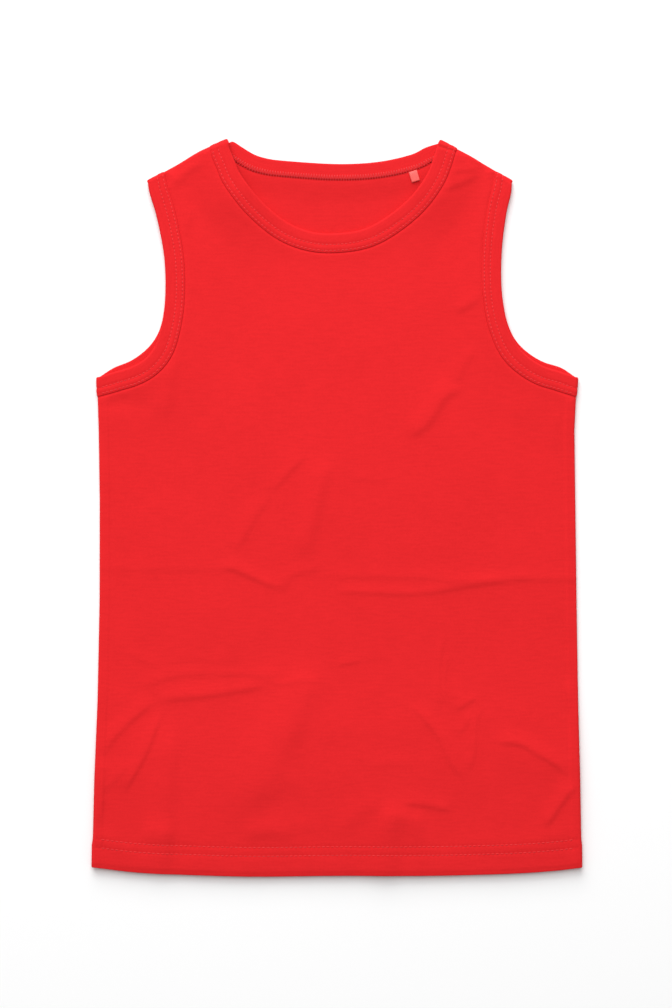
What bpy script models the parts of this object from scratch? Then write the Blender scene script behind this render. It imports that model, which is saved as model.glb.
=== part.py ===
"""A child's cotton-jersey tank top, laid flat on a table with its front up.

The table is the plane z = 0, the neck is towards +Y and the hem towards -Y. Left and right are
as seen from above. The sizes below are in millimetres, and MM turns them into metres.

Each panel is one sheet: its flat part is triangulated between its edges, its side and shoulder
edges roll down to meet the other panel, and its hem turns up inside. Each binding is one folded
strip whose sections stand on the edges of the two panels and go round the folds between them.
"""

import math
from collections import namedtuple

import bmesh
import bpy
import numpy as np
from mathutils import Vector, geometry

MM = 0.001

# Cloth, in layers that lie on each other.
WALL = 1.0  # thickness of every piece of jersey
GAP = 0.3  # kept between pieces that touch
LAYER = WALL + GAP  # from the middle of one wall to the middle of the next

# Bindings: a strip folded over the raw edge of a panel.
BINDING_WIDTH = 13.6  # seen width, from its folded edge to its sewn edge
BINDING_INSIDE = 11.2  # the same on the inner side
FOLD_TO_RAW_EDGE = LAYER + WALL / 2
LEG_OUTSIDE = BINDING_WIDTH - FOLD_TO_RAW_EDGE
LEG_INSIDE = BINDING_INSIDE - FOLD_TO_RAW_EDGE
BINDING_SEAT = 13.0  # how far in from its raw edge a panel stays straight under a binding
FAN_LENGTH = 14.0  # near a fold, the sections turn over this length to lie along the fold
BINDING_ARC_STEPS = 4

# Hem: the panel turned up inside.
HEM_DEPTH = 21.5
HEM_SEAT = 27.0
HEM_ARC_STEPS = 5
HEM_NARROWING = 0.006  # share by which its upper edge is narrower than the hem

# Heights of the middle of each wall above the table.
BACK_FLAT = WALL / 2
BACK_IN_BINDING = BACK_FLAT + LAYER
FRONT_FLAT = 2.5
FRONT_AT_HEM = BACK_FLAT + 3 * LAYER
FRONT_AT_NECK = 3.5
FRONT_IN_BINDING = 6.2
NECK_RISE_FROM, NECK_RISE_TO = 198.0, 232.0  # y over which the front neck climbs over the back's
SHOULDER_SEAT = 6.0
FRONT_FADE = 32.0  # length over which the front comes down from a binding
BACK_FADE = 14.0
HEM_FADE = 26.0

# Rolls where front and back meet at the sides and shoulders.
FOLD_STRAIGHT = 0.25  # half of the upright stretch in the middle of a fold
ROLL_ANGLES = (60, 30, 0)  # degrees above the table plane, from the flat part outwards

# Spacing of the points inside a panel.
FRONT_SPACING = 15.0
BACK_SPACING = 24.0
CREASE_SPACING = 9.5
CREASE_ROW_SHARE = 1.2  # of a crease's half width, from its crest to the rows beside it
CREASE_POINT_MARGIN = 3.5  # from the points on a crease to the outline and seats
CREASE_POINT_GAP = 4.2  # between the points on the creases
GRID_MARGIN_SHARE = 0.45  # the same margin for the even grid, as a share of its spacing
GRID_GAP_SHARE = 0.66
SIDE_STATIONS = 23
HEM_STATIONS = 24
SHOULDER_STATIONS = 3

# Silhouette of the sides, a row for each height on the garment.
Side = namedtuple("Side", "y left right")
SIDES = (
    Side(-252, -171.4, 171.4),
    Side(-228, -171.3, 171.3),
    Side(-190, -169.8, 170.1),
    Side(-135, -167.4, 168.6),
    Side(-65, -166.0, 167.5),
    Side(5, -165.9, 166.6),
    Side(54, -166.6, 166.0),
    Side(78, -167.3, 167.1),
    Side(92, -167.6, 168.0),
)

# Silhouette of the lower edge, from left to right.
Point = namedtuple("Point", "x y")
HEM_EDGE = (
    Point(-172, -251.2),
    Point(-140, -255.0),
    Point(-107, -256.6),
    Point(-57, -257.9),
    Point(0, -257.3),
    Point(66, -257.3),
    Point(122, -255.8),
    Point(152, -253.8),
    Point(172, -251.4),
)

# Where each fold between front and back starts, at the raw edge of the panels.
UNDERARM_Y = 90.2
LEFT_SHOULDER = (Point(-131.2, 227.0), Point(-99.8, 244.2), Point(-76.2, 254.2))
RIGHT_SHOULDER = (Point(121.3, 227.2), Point(96.6, 241.8), Point(71.6, 254.2))

# Folded edges of the bindings as they lie, between one fold and the next.
FRONT_NECK = (
    Point(-75.0, 250.5),
    Point(-71.4, 241.9),
    Point(-66.5, 231.2),
    Point(-53.5, 214.6),
    Point(-36.5, 200.3),
    Point(-20.0, 193.9),
    Point(-2.8, 192.3),
    Point(17.4, 195.0),
    Point(34.0, 202.6),
    Point(51.0, 216.5),
    Point(62.9, 233.0),
    Point(69.4, 250.5),
)
BACK_NECK = (
    Point(-66.2, 251.9),
    Point(-58.5, 247.3),
    Point(-51.2, 244.7),
    Point(-38.5, 242.7),
    Point(-0.7, 240.3),
    Point(28.0, 241.7),
    Point(51.0, 246.6),
    Point(61.8, 251.7),
)
FRONT_ARMHOLE_LEFT = (
    Point(-155.6, 94.6),
    Point(-144.0, 98.2),
    Point(-134.5, 103.6),
    Point(-127.6, 112.0),
    Point(-123.4, 124.0),
    Point(-120.4, 142.0),
    Point(-119.9, 162.0),
    Point(-121.4, 180.0),
    Point(-126.0, 203.0),
    Point(-130.9, 219.5),
)
BACK_ARMHOLE_LEFT = (
    Point(-156.1, 97.7),
    Point(-144.0, 102.8),
    Point(-133.7, 110.3),
    Point(-126.9, 118.7),
    Point(-122.8, 128.5),
    Point(-120.4, 142.0),
    Point(-119.9, 162.0),
    Point(-121.4, 180.0),
    Point(-126.0, 203.0),
    Point(-130.9, 219.5),
)
FRONT_ARMHOLE_RIGHT = (
    Point(156.2, 94.9),
    Point(144.5, 98.6),
    Point(134.0, 105.0),
    Point(126.4, 112.6),
    Point(121.6, 122.0),
    Point(117.4, 135.5),
    Point(114.9, 155.0),
    Point(115.2, 180.0),
    Point(118.3, 205.0),
    Point(121.6, 219.5),
)
BACK_ARMHOLE_RIGHT = (
    Point(156.8, 97.7),
    Point(144.2, 101.9),
    Point(134.0, 108.0),
    Point(126.2, 115.4),
    Point(121.2, 124.0),
    Point(117.4, 135.5),
    Point(114.9, 155.0),
    Point(115.2, 180.0),
    Point(118.3, 205.0),
    Point(121.6, 219.5),
)
NECK_FRONT_STATIONS = 27
NECK_BACK_STATIONS = 17
ARMHOLE_STATIONS = 20

# The largest folds of the front: a crest or a trough along a line, in millimetres.
Crease = namedtuple("Crease", "name height half_width points")
CREASES = (
    Crease("storage_fold_left", 1.5, 5.0,
           ((-176, -41), (-96, -41), (-62, -45.5), (-39, -53.5), (-30, -46), (-10, -45))),
    Crease("storage_fold_right", 1.4, 4.5,
           ((-14, -45.5), (44, -46), (79, -47.5), (142, -47.5), (178, -49.5))),
    Crease("storage_fold_lower", 1.0, 4.0,
           ((-4, -56), (30, -57.5), (58, -58), (81, -54.5), (112, -51))),
    Crease("left_sweep", 1.2, 5.0, ((-128, -132), (-108, -131), (-69, -126), (-44, -122.5))),
    Crease("left_upper_sweep", 0.8, 4.5, ((-143, -126), (-108, -116), (-80, -115), (-34, -114))),
    Crease("left_drop", 0.9, 5.0, ((-124, -132), (-139, -143), (-158, -165), (-160, -203))),
    Crease("centre_trough", -0.5, 9.0, ((-12, -122), (-37, -173), (-58, -214))),
    Crease("right_arc", 1.2, 5.5, ((105, -161), (127, -163), (145, -174), (164, -188))),
    Crease("right_sweep", 0.8, 5.0, ((48, -134), (70, -158), (90, -192))),
    Crease("chest_hook", 1.0, 5.0, ((46, 51), (61, 56), (74, 76), (92, 84))),
)
CREASE_FADE = 0.22  # share of a crease's length over which each end dies away

# Loop label: a narrow tape folded in two, its fold pointing down the inside of the back.
LABEL_WIDTH = 5.8
LABEL_LENGTH = 8.4
LABEL_TOP_X = 53.0
LABEL_TURN = math.radians(17)
LABEL_CLEAR = 1.3  # from the binding's inner edge to the middle of the tape's top
LABEL_ARC_STEPS = 4

RED = (0.79, 0.022, 0.026, 1)
CORAL = (0.93, 0.11, 0.09, 1)


# Curves and distances in the plane of the table.


def smooth_curve(points, steps=14):
    """A dense polyline through the points, bending evenly from one to the next."""
    p = np.array(points, float)
    p = np.vstack([2 * p[0] - p[1], p, 2 * p[-1] - p[-2]])
    t = np.linspace(0, 1, steps, endpoint=False)[:, None]
    runs = []
    for a, b, c, d in zip(p, p[1:], p[2:], p[3:]):
        bend = (c - a) * t + (2 * a - 5 * b + 4 * c - d) * t**2 + (3 * b - a - 3 * c + d) * t**3
        runs.append(b + bend / 2)
    return np.vstack([*runs, p[-2]])


def lengths_along(line):
    steps = np.linalg.norm(np.diff(line, axis=0), axis=1)
    return np.concatenate([[0], np.cumsum(steps)])


def spaced(line, count):
    """That many points, evenly spaced along a polyline."""
    along = lengths_along(line)
    at = np.linspace(0, along[-1], count)
    return np.stack([np.interp(at, along, line[:, k]) for k in (0, 1)], axis=1)


def unit(v):
    return v / np.linalg.norm(v, axis=-1, keepdims=True)


def turned(v):
    """A direction turned a quarter turn anticlockwise."""
    return np.stack([-v[..., 1], v[..., 0]], axis=-1)


def ease(t):
    """Rises smoothly from 0 to 1 as t goes from 0 to 1."""
    t = np.clip(t, 0, 1)
    return t * t * (3 - 2 * t)


def nearest_on(line, points):
    """For each point: how far the polyline is, and the share of its length at the nearest place."""
    a, d = line[:-1], np.diff(line, axis=0)
    to = points[:, None] - a[None]
    t = np.clip((to * d).sum(-1) / (d * d).sum(-1), 0, 1)
    away = np.linalg.norm(to - t[..., None] * d, axis=-1)
    best = away.argmin(axis=1)
    row = np.arange(len(points))
    along = lengths_along(line)
    place = along[best] + t[row, best] * np.diff(along)[best]
    return away[row, best], place / along[-1]


# The folds where front and back meet.


def side_x(y, side):
    """Where the roll of a side starts, just inside the silhouette, at this height."""
    edge = np.interp(y, [row.y for row in SIDES], [getattr(row, side) for row in SIDES])
    sign = -1 if side == "left" else 1
    return edge - sign * WALL / 2


BINDING_ROLL = (FRONT_IN_BINDING - BACK_IN_BINDING) / 2 - FOLD_STRAIGHT


def side_start(y, side, roll):
    """The point of a side where a roll of this radius starts."""
    sign = -1 if side == "left" else 1
    return np.array((float(side_x(y, side)) - sign * roll, y))


UNDERARM_LEFT = side_start(UNDERARM_Y, "left", BINDING_ROLL)
UNDERARM_RIGHT = side_start(UNDERARM_Y, "right", BINDING_ROLL)


class Edge:
    """One stretch of a panel's raw edge, with the sections that its binding takes.

    Each section starts at a point of the raw edge and runs into the panel along its own
    direction. At both ends that direction is the line of the fold there.
    """

    def __init__(self, points, start, end, start_along, end_along, count, inside):
        first = np.array(start) - FOLD_TO_RAW_EDGE * start_along
        last = np.array(end) - FOLD_TO_RAW_EDGE * end_along
        folded = spaced(smooth_curve([first, *points, last]), count)
        across = inside * turned(unit(np.gradient(folded, axis=0)))
        along = lengths_along(folded)
        near_start = 1 - ease(along / FAN_LENGTH)
        near_end = 1 - ease((along[-1] - along) / FAN_LENGTH)
        mixed = (
            across * (1 - near_start - near_end)[:, None]
            + start_along * near_start[:, None]
            + end_along * near_end[:, None]
        )
        self.into = unit(mixed)
        self.raw = folded + FOLD_TO_RAW_EDGE * self.into
        self.seat = self.raw + BINDING_SEAT * self.into


def fold_directions(line):
    """The directions in which a fold line leaves its first and its last point."""
    return unit(line[1] - line[0]), unit(line[-2] - line[-1])


LEFT_LINE = smooth_curve(LEFT_SHOULDER)
RIGHT_LINE = smooth_curve(RIGHT_SHOULDER)
LEFT_ARM_ALONG, LEFT_NECK_ALONG = fold_directions(LEFT_LINE)
RIGHT_ARM_ALONG, RIGHT_NECK_ALONG = fold_directions(RIGHT_LINE)
SEAT_Y = UNDERARM_Y - BINDING_SEAT
LEFT_SIDE_ALONG = unit(side_start(SEAT_Y, "left", BINDING_ROLL) - UNDERARM_LEFT)
RIGHT_SIDE_ALONG = unit(side_start(SEAT_Y, "right", BINDING_ROLL) - UNDERARM_RIGHT)


def armhole_edge(points, side):
    if side == "left":
        return Edge(points, UNDERARM_LEFT, LEFT_SHOULDER[0], LEFT_SIDE_ALONG, LEFT_ARM_ALONG,
                    ARMHOLE_STATIONS, inside=-1)
    return Edge(points, UNDERARM_RIGHT, RIGHT_SHOULDER[0], RIGHT_SIDE_ALONG, RIGHT_ARM_ALONG,
                ARMHOLE_STATIONS, inside=1)


def neck_edge(points, count):
    return Edge(points, LEFT_SHOULDER[-1], RIGHT_SHOULDER[-1], LEFT_NECK_ALONG,
                RIGHT_NECK_ALONG, count, inside=-1)


FRONT_EDGES = {
    "left": armhole_edge(FRONT_ARMHOLE_LEFT, "left"),
    "right": armhole_edge(FRONT_ARMHOLE_RIGHT, "right"),
    "neck": neck_edge(FRONT_NECK, NECK_FRONT_STATIONS),
}
BACK_EDGES = {
    "left": armhole_edge(BACK_ARMHOLE_LEFT, "left"),
    "right": armhole_edge(BACK_ARMHOLE_RIGHT, "right"),
    "neck": neck_edge(BACK_NECK, NECK_BACK_STATIONS),
}
HEM_LINE = smooth_curve(HEM_EDGE)


def hem_y(x):
    """Where the flat part of a panel ends and the turn of its hem starts."""
    return np.interp(x, HEM_LINE[:, 0], HEM_LINE[:, 1]) + WALL / 2 + LAYER / 2


# Heights of the two panels over the table.


def seat_height(base, target, away, seat, fade):
    """The target height within its seat, coming down to the base over the fade."""
    return base + (target - base) * (1 - ease((away - seat) / fade))


def crease_height(points):
    total = np.zeros(len(points))
    for crease in CREASES:
        away, share = nearest_on(smooth_curve(crease.points), points)
        ends = ease(share / CREASE_FADE) * ease((1 - share) / CREASE_FADE)
        total += crease.height * ends * np.exp(-((away / crease.half_width) ** 2))
    return total


def front_height(points):
    """Height of the middle of the front's wall at points of the table plane."""
    points = np.atleast_2d(points)
    flat = FRONT_FLAT + crease_height(points)
    to_left, _ = nearest_on(FRONT_EDGES["left"].raw, points)
    to_right, _ = nearest_on(FRONT_EDGES["right"].raw, points)
    neck = FRONT_EDGES["neck"].raw
    to_neck, share = nearest_on(neck, points)
    neck_y = np.interp(share, np.linspace(0, 1, len(neck)), neck[:, 1])
    rise = ease((neck_y - NECK_RISE_FROM) / (NECK_RISE_TO - NECK_RISE_FROM))
    neck_target = FRONT_AT_NECK + (FRONT_IN_BINDING - FRONT_AT_NECK) * rise
    to_shoulder = np.minimum(nearest_on(LEFT_LINE, points)[0], nearest_on(RIGHT_LINE, points)[0])
    over_hem = points[:, 1] - hem_y(points[:, 0])
    raised = [
        seat_height(flat, FRONT_IN_BINDING, to_left, BINDING_SEAT, FRONT_FADE),
        seat_height(flat, FRONT_IN_BINDING, to_right, BINDING_SEAT, FRONT_FADE),
        seat_height(flat, neck_target, to_neck, BINDING_SEAT, FRONT_FADE),
        seat_height(flat, FRONT_IN_BINDING, to_shoulder, SHOULDER_SEAT, FRONT_FADE),
        seat_height(flat, FRONT_AT_HEM, over_hem, HEM_SEAT, HEM_FADE),
    ]
    return np.max(raised, axis=0)


def back_height(points):
    """The same for the back, which lies on the table but for its bindings."""
    points = np.atleast_2d(points)
    to_edge = np.min([nearest_on(edge.raw, points)[0] for edge in BACK_EDGES.values()], axis=0)
    to_shoulder = np.minimum(nearest_on(LEFT_LINE, points)[0], nearest_on(RIGHT_LINE, points)[0])
    bound = seat_height(BACK_FLAT, BACK_IN_BINDING, to_edge, BINDING_SEAT, BACK_FADE)
    shoulder = seat_height(BACK_FLAT, BACK_IN_BINDING, to_shoulder, SHOULDER_SEAT, BACK_FADE)
    return np.maximum(bound, shoulder)


def roll_radius(point):
    """How wide the fold between front and back rolls at this point."""
    return float(front_height(point)[0] - back_height(point)[0]) / 2 - FOLD_STRAIGHT


def fold_point(centre, outward, angle, raise_by, off_middle=0.0):
    """A point on the fold's section: angle 90 is on the front, -90 on the back.

    centre is in the plane, where the roll starts. off_middle is how far outside the middle of
    the panel's wall the point lies, and raise_by is its place on the upright stretch.
    """
    front, back = float(front_height(centre)[0]), float(back_height(centre)[0])
    radius = (front - back) / 2 - FOLD_STRAIGHT + off_middle
    reach = radius * math.cos(math.radians(angle))
    z = (front + back) / 2 + raise_by + radius * math.sin(math.radians(angle))
    return (*(np.array(centre) + reach * outward), z)


# Meshes.


def build_object(name, points, faces, color, collection):
    """A sheet from points in millimetres, thickened into a wall."""
    mesh = bpy.data.meshes.new(name)
    mesh.from_pydata([Vector(p) * MM for p in points], [], faces)
    sheet = bmesh.new()
    sheet.from_mesh(mesh)
    bmesh.ops.recalc_face_normals(sheet, faces=sheet.faces)
    sheet.to_mesh(mesh)
    sheet.free()
    mesh.shade_smooth()
    piece = bpy.data.objects.new(name, mesh)
    collection.objects.link(piece)
    wall = piece.modifiers.new("Wall", "SOLIDIFY")
    wall.thickness = WALL * MM
    wall.offset = 0
    wall.use_even_offset = True
    material = bpy.data.materials.new(name + "_cloth")
    material.use_nodes = True
    shader = material.node_tree.nodes["Principled BSDF"]
    shader.inputs["Base Color"].default_value = color
    shader.inputs["Roughness"].default_value = 0.9
    shader.inputs["Metallic"].default_value = 0.0
    mesh.materials.append(material)
    return piece


def grid_faces(rows, closed=False):
    """Four-sided faces between rows of point numbers; closed joins the last row to the first."""
    pairs = list(zip(rows, rows[1:]))
    if closed:
        pairs.append((rows[-1], rows[0]))
    return [
        (a[i], a[i + 1], b[i + 1], b[i])
        for a, b in pairs
        for i in range(len(a) - 1)
    ]


def hexagon_points(low, high, spacing):
    row_step = spacing * math.sqrt(3) / 2
    rows = []
    for r, y in enumerate(np.arange(low[1], high[1], row_step)):
        x = np.arange(low[0] + (r % 2) * spacing / 2, high[0], spacing)
        rows.append(np.stack([x, np.full(len(x), y)], axis=1))
    return np.vstack(rows)


def apart(points, kept, distance):
    """Those points that keep this distance from each other and from the kept ones."""
    chosen = [np.array(p, float) for p in kept]
    start = len(chosen)
    for p in points:
        if np.linalg.norm(np.array(chosen) - p, axis=1).min() >= distance:
            chosen.append(p)
    return chosen[start:]


class Panel:
    """The sheet of the front or the back, built up as points and faces in millimetres."""

    def __init__(self, edges, height, sign):
        self.edges = edges
        self.height = height
        self.sign = sign  # 1 for the front, which rolls down; -1 for the back, which rolls up
        self.points = []
        self.faces = []

    def add(self, point):
        self.points.append(tuple(float(v) for v in point))
        return len(self.points) - 1

    def flat_part(self, spacing, creases):
        """Triangulates the panel between its edges, seats and creases."""
        outline, runs = self.outline()
        seats = [self.edges[k].seat[1:-1] for k in ("left", "right", "neck")]
        seat_ends = [(runs["left_seat"], runs["left_shoulder"][1]),
                     (runs["right_seat"], runs["right_shoulder"][1]),
                     (runs["left_shoulder"][-2], runs["right_shoulder"][-2])]
        flat = [np.array(p) for p in outline]
        ties = []
        for line, (first, last) in zip(seats, seat_ends):
            numbers = list(range(len(flat), len(flat) + len(line)))
            flat += list(line)
            chain = [first, *numbers, last]
            ties += list(zip(chain, chain[1:]))
        border = np.array([*outline, outline[0]])
        candidates = []
        for crease in creases:
            line = smooth_curve(crease.points)
            middle = spaced(line, max(3, round(lengths_along(line)[-1] / CREASE_SPACING)))
            across = turned(unit(np.gradient(middle, axis=0))) * crease.half_width * CREASE_ROW_SHARE
            candidates += [*middle, *(middle + across), *(middle - across)]
        if candidates:
            fold_rows = self.inside(np.array(candidates), border, CREASE_POINT_MARGIN)
            flat += apart(fold_rows, flat, CREASE_POINT_GAP)
        grid = hexagon_points(border.min(axis=0), border.max(axis=0), spacing)
        grid = self.inside(grid, border, spacing * GRID_MARGIN_SHARE)
        flat += apart(grid, flat, spacing * GRID_GAP_SHARE)
        result = geometry.delaunay_2d_cdt(
            [Vector(p) for p in flat], ties, [list(range(len(outline)))], 1, 1e-5
        )
        found = np.array([tuple(v) for v in result[0]])
        for point, z in zip(found, self.height(found)):
            self.add((*point, z))
        self.faces += [tuple(face) for face in result[2]]
        return runs

    def inside(self, points, border, margin):
        """Those points that are inside the outline and off its seats by a margin."""
        lines = [border] + [self.edges[k].seat for k in ("left", "right", "neck")]
        away = np.min([nearest_on(line, points)[0] for line in lines], axis=0)
        a, b = border[:-1], border[1:]
        x, y = points[:, :1], points[:, 1:]
        spans = (a[:, 1] > y) != (b[:, 1] > y)
        rise = np.where(b[:, 1] == a[:, 1], 1, b[:, 1] - a[:, 1])
        crossing = a[:, 0] + (y - a[:, 1]) * (b[:, 0] - a[:, 0]) / rise
        hits = (spans & (x < crossing)).sum(axis=1)
        return points[(hits % 2 == 1) & (away > margin)]

    def side_run(self, side):
        """The line where a side starts to roll, from the hem up to the underarm."""
        hem_roll = (FRONT_AT_HEM - BACK_FLAT) / 2 - FOLD_STRAIGHT
        corner = side_start(HEM_LINE[:, 1].max(), side, hem_roll)
        run = []
        for y in np.linspace(float(hem_y(corner[0])), SEAT_Y, SIDE_STATIONS):
            start = side_start(y, side, hem_roll)
            for _ in range(4):  # the roll's width depends on the height of the cloth at its start
                start = side_start(y, side, roll_radius(start))
            run.append(start)
        return [*run, UNDERARM_LEFT if side == "left" else UNDERARM_RIGHT]

    def shoulder_run(self, line):
        """The points of a shoulder where it starts to roll, with one at each seat."""
        length = lengths_along(line)[-1]
        at = [0, BINDING_SEAT]
        at += list(np.linspace(BINDING_SEAT, length - BINDING_SEAT, SHOULDER_STATIONS + 2)[1:-1])
        at += [length - BINDING_SEAT, length]
        along = lengths_along(line)
        run = [np.array([np.interp(s, along, line[:, k]) for k in (0, 1)]) for s in at]
        return run

    def outline(self):
        """The border of the flat part, clockwise from the lower left, and its named runs."""
        left, right = self.side_run("left"), self.side_run("right")
        left_top, right_top = self.shoulder_run(LEFT_LINE), self.shoulder_run(RIGHT_LINE)
        left_top[1] = self.edges["left"].seat[-1]
        left_top[-2] = self.edges["neck"].seat[0]
        right_top[1] = self.edges["right"].seat[-1]
        right_top[-2] = self.edges["neck"].seat[-1]
        hem_x = np.linspace(right[0][0], left[0][0], HEM_STATIONS)[1:-1]
        hem = [np.array((x, float(hem_y(x)))) for x in hem_x]
        border, runs = [], {}

        def walk(name, stretch):
            runs[name] = list(range(len(border), len(border) + len(stretch)))
            border.extend(stretch)

        walk("left_side", left)
        walk("left_arm", self.edges["left"].raw[1:-1])
        walk("left_shoulder", left_top)
        walk("neck", self.edges["neck"].raw[1:-1])
        walk("right_shoulder", right_top[::-1])
        walk("right_arm", self.edges["right"].raw[1:-1][::-1])
        walk("right_side", right[::-1])
        walk("hem", hem)
        runs["right_shoulder"] = runs["right_shoulder"][::-1]
        runs["right_side"] = runs["right_side"][::-1]
        runs["left_seat"] = runs["left_side"][-2]
        runs["right_seat"] = runs["right_side"][-2]
        return border, runs

    def roll(self, run, side):
        """Rolls the panel down, or up, along one of its runs."""
        line = np.array([self.points[i][:2] for i in run])
        outward = side * turned(unit(np.gradient(line, axis=0)))
        rows = [list(run)]
        for angle in ROLL_ANGLES:
            rows.append([
                self.add(fold_point(p, out, self.sign * angle, self.sign * FOLD_STRAIGHT))
                for p, out in zip(line, outward)
            ])
        rows.append([
            self.add(fold_point(p, out, 0, self.sign * GAP / 2)) for p, out in zip(line, outward)
        ])
        self.faces += grid_faces(rows)

    def hem(self, left_corner, right_corner, hem_run):
        """Turns the lower edge up inside, between the rolls of the sides."""
        edge = [left_corner, *hem_run[::-1], right_corner]
        outer = np.array([self.points[i] for i in edge])
        rows = [edge]
        for step in range(1, HEM_ARC_STEPS + 1):
            turn = math.pi * step / HEM_ARC_STEPS
            ring = outer.copy()
            ring[:, 1] -= LAYER / 2 * math.sin(turn)
            ring[:, 2] -= self.sign * LAYER / 2 * (1 - math.cos(turn))
            rows.append([self.add(p) for p in ring])
        for rise in (HEM_DEPTH / 3, HEM_DEPTH * 2 / 3, HEM_DEPTH):
            narrower = 1 - HEM_NARROWING * rise / HEM_DEPTH
            rows.append([
                self.add((x * narrower, y + rise, z - self.sign * LAYER)) for x, y, z in outer
            ])
        self.faces += grid_faces(rows)


def make_panel(name, edges, height, sign, spacing, creases, collection):
    panel = Panel(edges, height, sign)
    runs = panel.flat_part(spacing, creases)
    panel.roll(runs["left_side"], 1)
    panel.roll(runs["right_side"], -1)
    panel.roll(runs["left_shoulder"], 1)
    panel.roll(runs["right_shoulder"], -1)
    panel.hem(runs["left_side"][0], runs["right_side"][0], runs["hem"])
    return build_object(name, panel.points, panel.faces, RED, collection)


# Bindings.


def binding_profile():
    """Section of the folded strip: its distance into the panel, and off the panel's middle."""
    profile = [(LEG_OUTSIDE, LAYER)]
    for step in range(BINDING_ARC_STEPS + 1):
        turn = math.pi * step / BINDING_ARC_STEPS
        profile.append((-LAYER * math.sin(turn), LAYER * math.cos(turn)))
    profile.append((LEG_INSIDE, -LAYER))
    return profile


def panel_sections(edge, height, sign):
    """Sections of a binding along one stretch of raw edge."""
    rows = []
    for raw, seat, into in zip(edge.raw, edge.seat, edge.into):
        z_raw, z_seat = height([raw, seat])
        rows.append([
            (*(raw + depth * into),
             z_raw + (z_seat - z_raw) * max(depth, 0) / BINDING_SEAT + sign * off)
            for depth, off in binding_profile()
        ])
    return rows


def fold_sections(start, along, side, first_sign):
    """Sections of a binding round a fold, from the panel of first_sign to the other one."""
    outward = side * turned(along)
    rows = []
    stops = [(angle, 1) for angle in ROLL_ANGLES] + [(-angle, -1) for angle in ROLL_ANGLES[::-1]]
    for angle, half in stops:
        row = []
        for depth, off in binding_profile():
            centre = np.array(start) + depth * along
            base = fold_point(np.array(start), outward, first_sign * angle,
                              first_sign * half * FOLD_STRAIGHT, off)
            row.append((*(centre + (np.array(base[:2]) - np.array(start))), base[2]))
        rows.append(row)
    return rows


def make_binding(name, stretches, collection):
    """A closed ring of sections."""
    sections = [row for stretch in stretches for row in stretch]
    points = [p for row in sections for p in row]
    width = len(sections[0])
    rows = [list(range(k * width, (k + 1) * width)) for k in range(len(sections))]
    return build_object(name, points, grid_faces(rows, closed=True), RED, collection)


def neck_binding(collection):
    front = panel_sections(FRONT_EDGES["neck"], front_height, 1)
    back = panel_sections(BACK_EDGES["neck"], back_height, -1)
    right = fold_sections(RIGHT_SHOULDER[-1], RIGHT_NECK_ALONG, 1, 1)
    left = fold_sections(LEFT_SHOULDER[-1], LEFT_NECK_ALONG, -1, -1)
    stretches = [front, right, back[::-1], left]
    return make_binding("neck_binding", stretches, collection)


def armhole_binding(side, collection):
    shoulder = LEFT_SHOULDER if side == "left" else RIGHT_SHOULDER
    underarm = UNDERARM_LEFT if side == "left" else UNDERARM_RIGHT
    along = LEFT_ARM_ALONG if side == "left" else RIGHT_ARM_ALONG
    down = LEFT_SIDE_ALONG if side == "left" else RIGHT_SIDE_ALONG
    turn = 1 if side == "left" else -1
    front = panel_sections(FRONT_EDGES[side], front_height, 1)
    back = panel_sections(BACK_EDGES[side], back_height, -1)
    top = fold_sections(shoulder[0], along, turn, 1)
    bottom = fold_sections(underarm, down, -turn, -1)
    stretches = [front, top, back[::-1], bottom]
    return make_binding("armhole_binding_" + side, stretches, collection)


# The loop label.


def loop_label(collection):
    """A tape folded in two that lies on the inside of the back, just below the neck binding."""
    neck = BACK_EDGES["neck"]
    below = neck.raw + (LEG_INSIDE + LABEL_CLEAR) * neck.into
    top = np.array((LABEL_TOP_X, np.interp(LABEL_TOP_X, below[:, 0], below[:, 1])))
    along = np.array((math.sin(LABEL_TURN), -math.cos(LABEL_TURN)))
    across = turned(along) * LABEL_WIDTH / 2
    profile = []
    run = LABEL_LENGTH - LAYER / 2
    for share in (0.0, 0.5, 1.0):
        profile.append((run * share, 0.0))
    for step in range(1, LABEL_ARC_STEPS):
        turn = math.pi * step / LABEL_ARC_STEPS
        profile.append((run + LAYER / 2 * math.sin(turn), LAYER / 2 * (1 - math.cos(turn))))
    for share in (1.0, 0.5, 0.0):
        profile.append((run * share, LAYER))
    spread = [top + run * share * along + side * across
              for share in (0.0, 0.25, 0.5, 0.75, 1.0) for side in (-1, 1)]
    floor = float(np.max(back_height(spread))) + LAYER
    rows = [
        [(*(top + depth * along + side * across), floor + rise) for depth, rise in profile]
        for side in (-1, 1)
    ]
    points = rows[0] + rows[1]
    count = len(profile)
    faces = grid_faces([list(range(count)), list(range(count, 2 * count))])
    return build_object("loop_label", points, faces, CORAL, collection)


def main():
    for item in list(bpy.data.objects):
        bpy.data.objects.remove(item)
    collection = bpy.data.collections.new("tank_top")
    bpy.context.scene.collection.children.link(collection)
    make_panel("back_panel", BACK_EDGES, back_height, -1, BACK_SPACING, (), collection)
    make_panel("front_panel", FRONT_EDGES, front_height, 1, FRONT_SPACING, CREASES, collection)
    neck_binding(collection)
    armhole_binding("left", collection)
    armhole_binding("right", collection)
    loop_label(collection)


main()
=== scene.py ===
# %% [markdown]
# # A child's tank top, laid flat
#
# The real thing is a red sleeveless top of thin cotton jersey, smoothed out on a white table and
# seen from straight above. It is cut as a front and a back, its neck and armholes are bound with
# folded strips, and its hem is turned up inside.
#
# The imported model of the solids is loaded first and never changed. Each of its pieces is then
# replaced by a finer one of the same form: a thin sheet with creases, dents where the needle went
# in, and stitches of real thread. All sizes are in millimetres and MM turns them into metres.

# %% Tools and the frame
import math
from collections import namedtuple

import bmesh
import bpy
import numpy as np
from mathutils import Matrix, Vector, geometry, kdtree, noise


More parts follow.
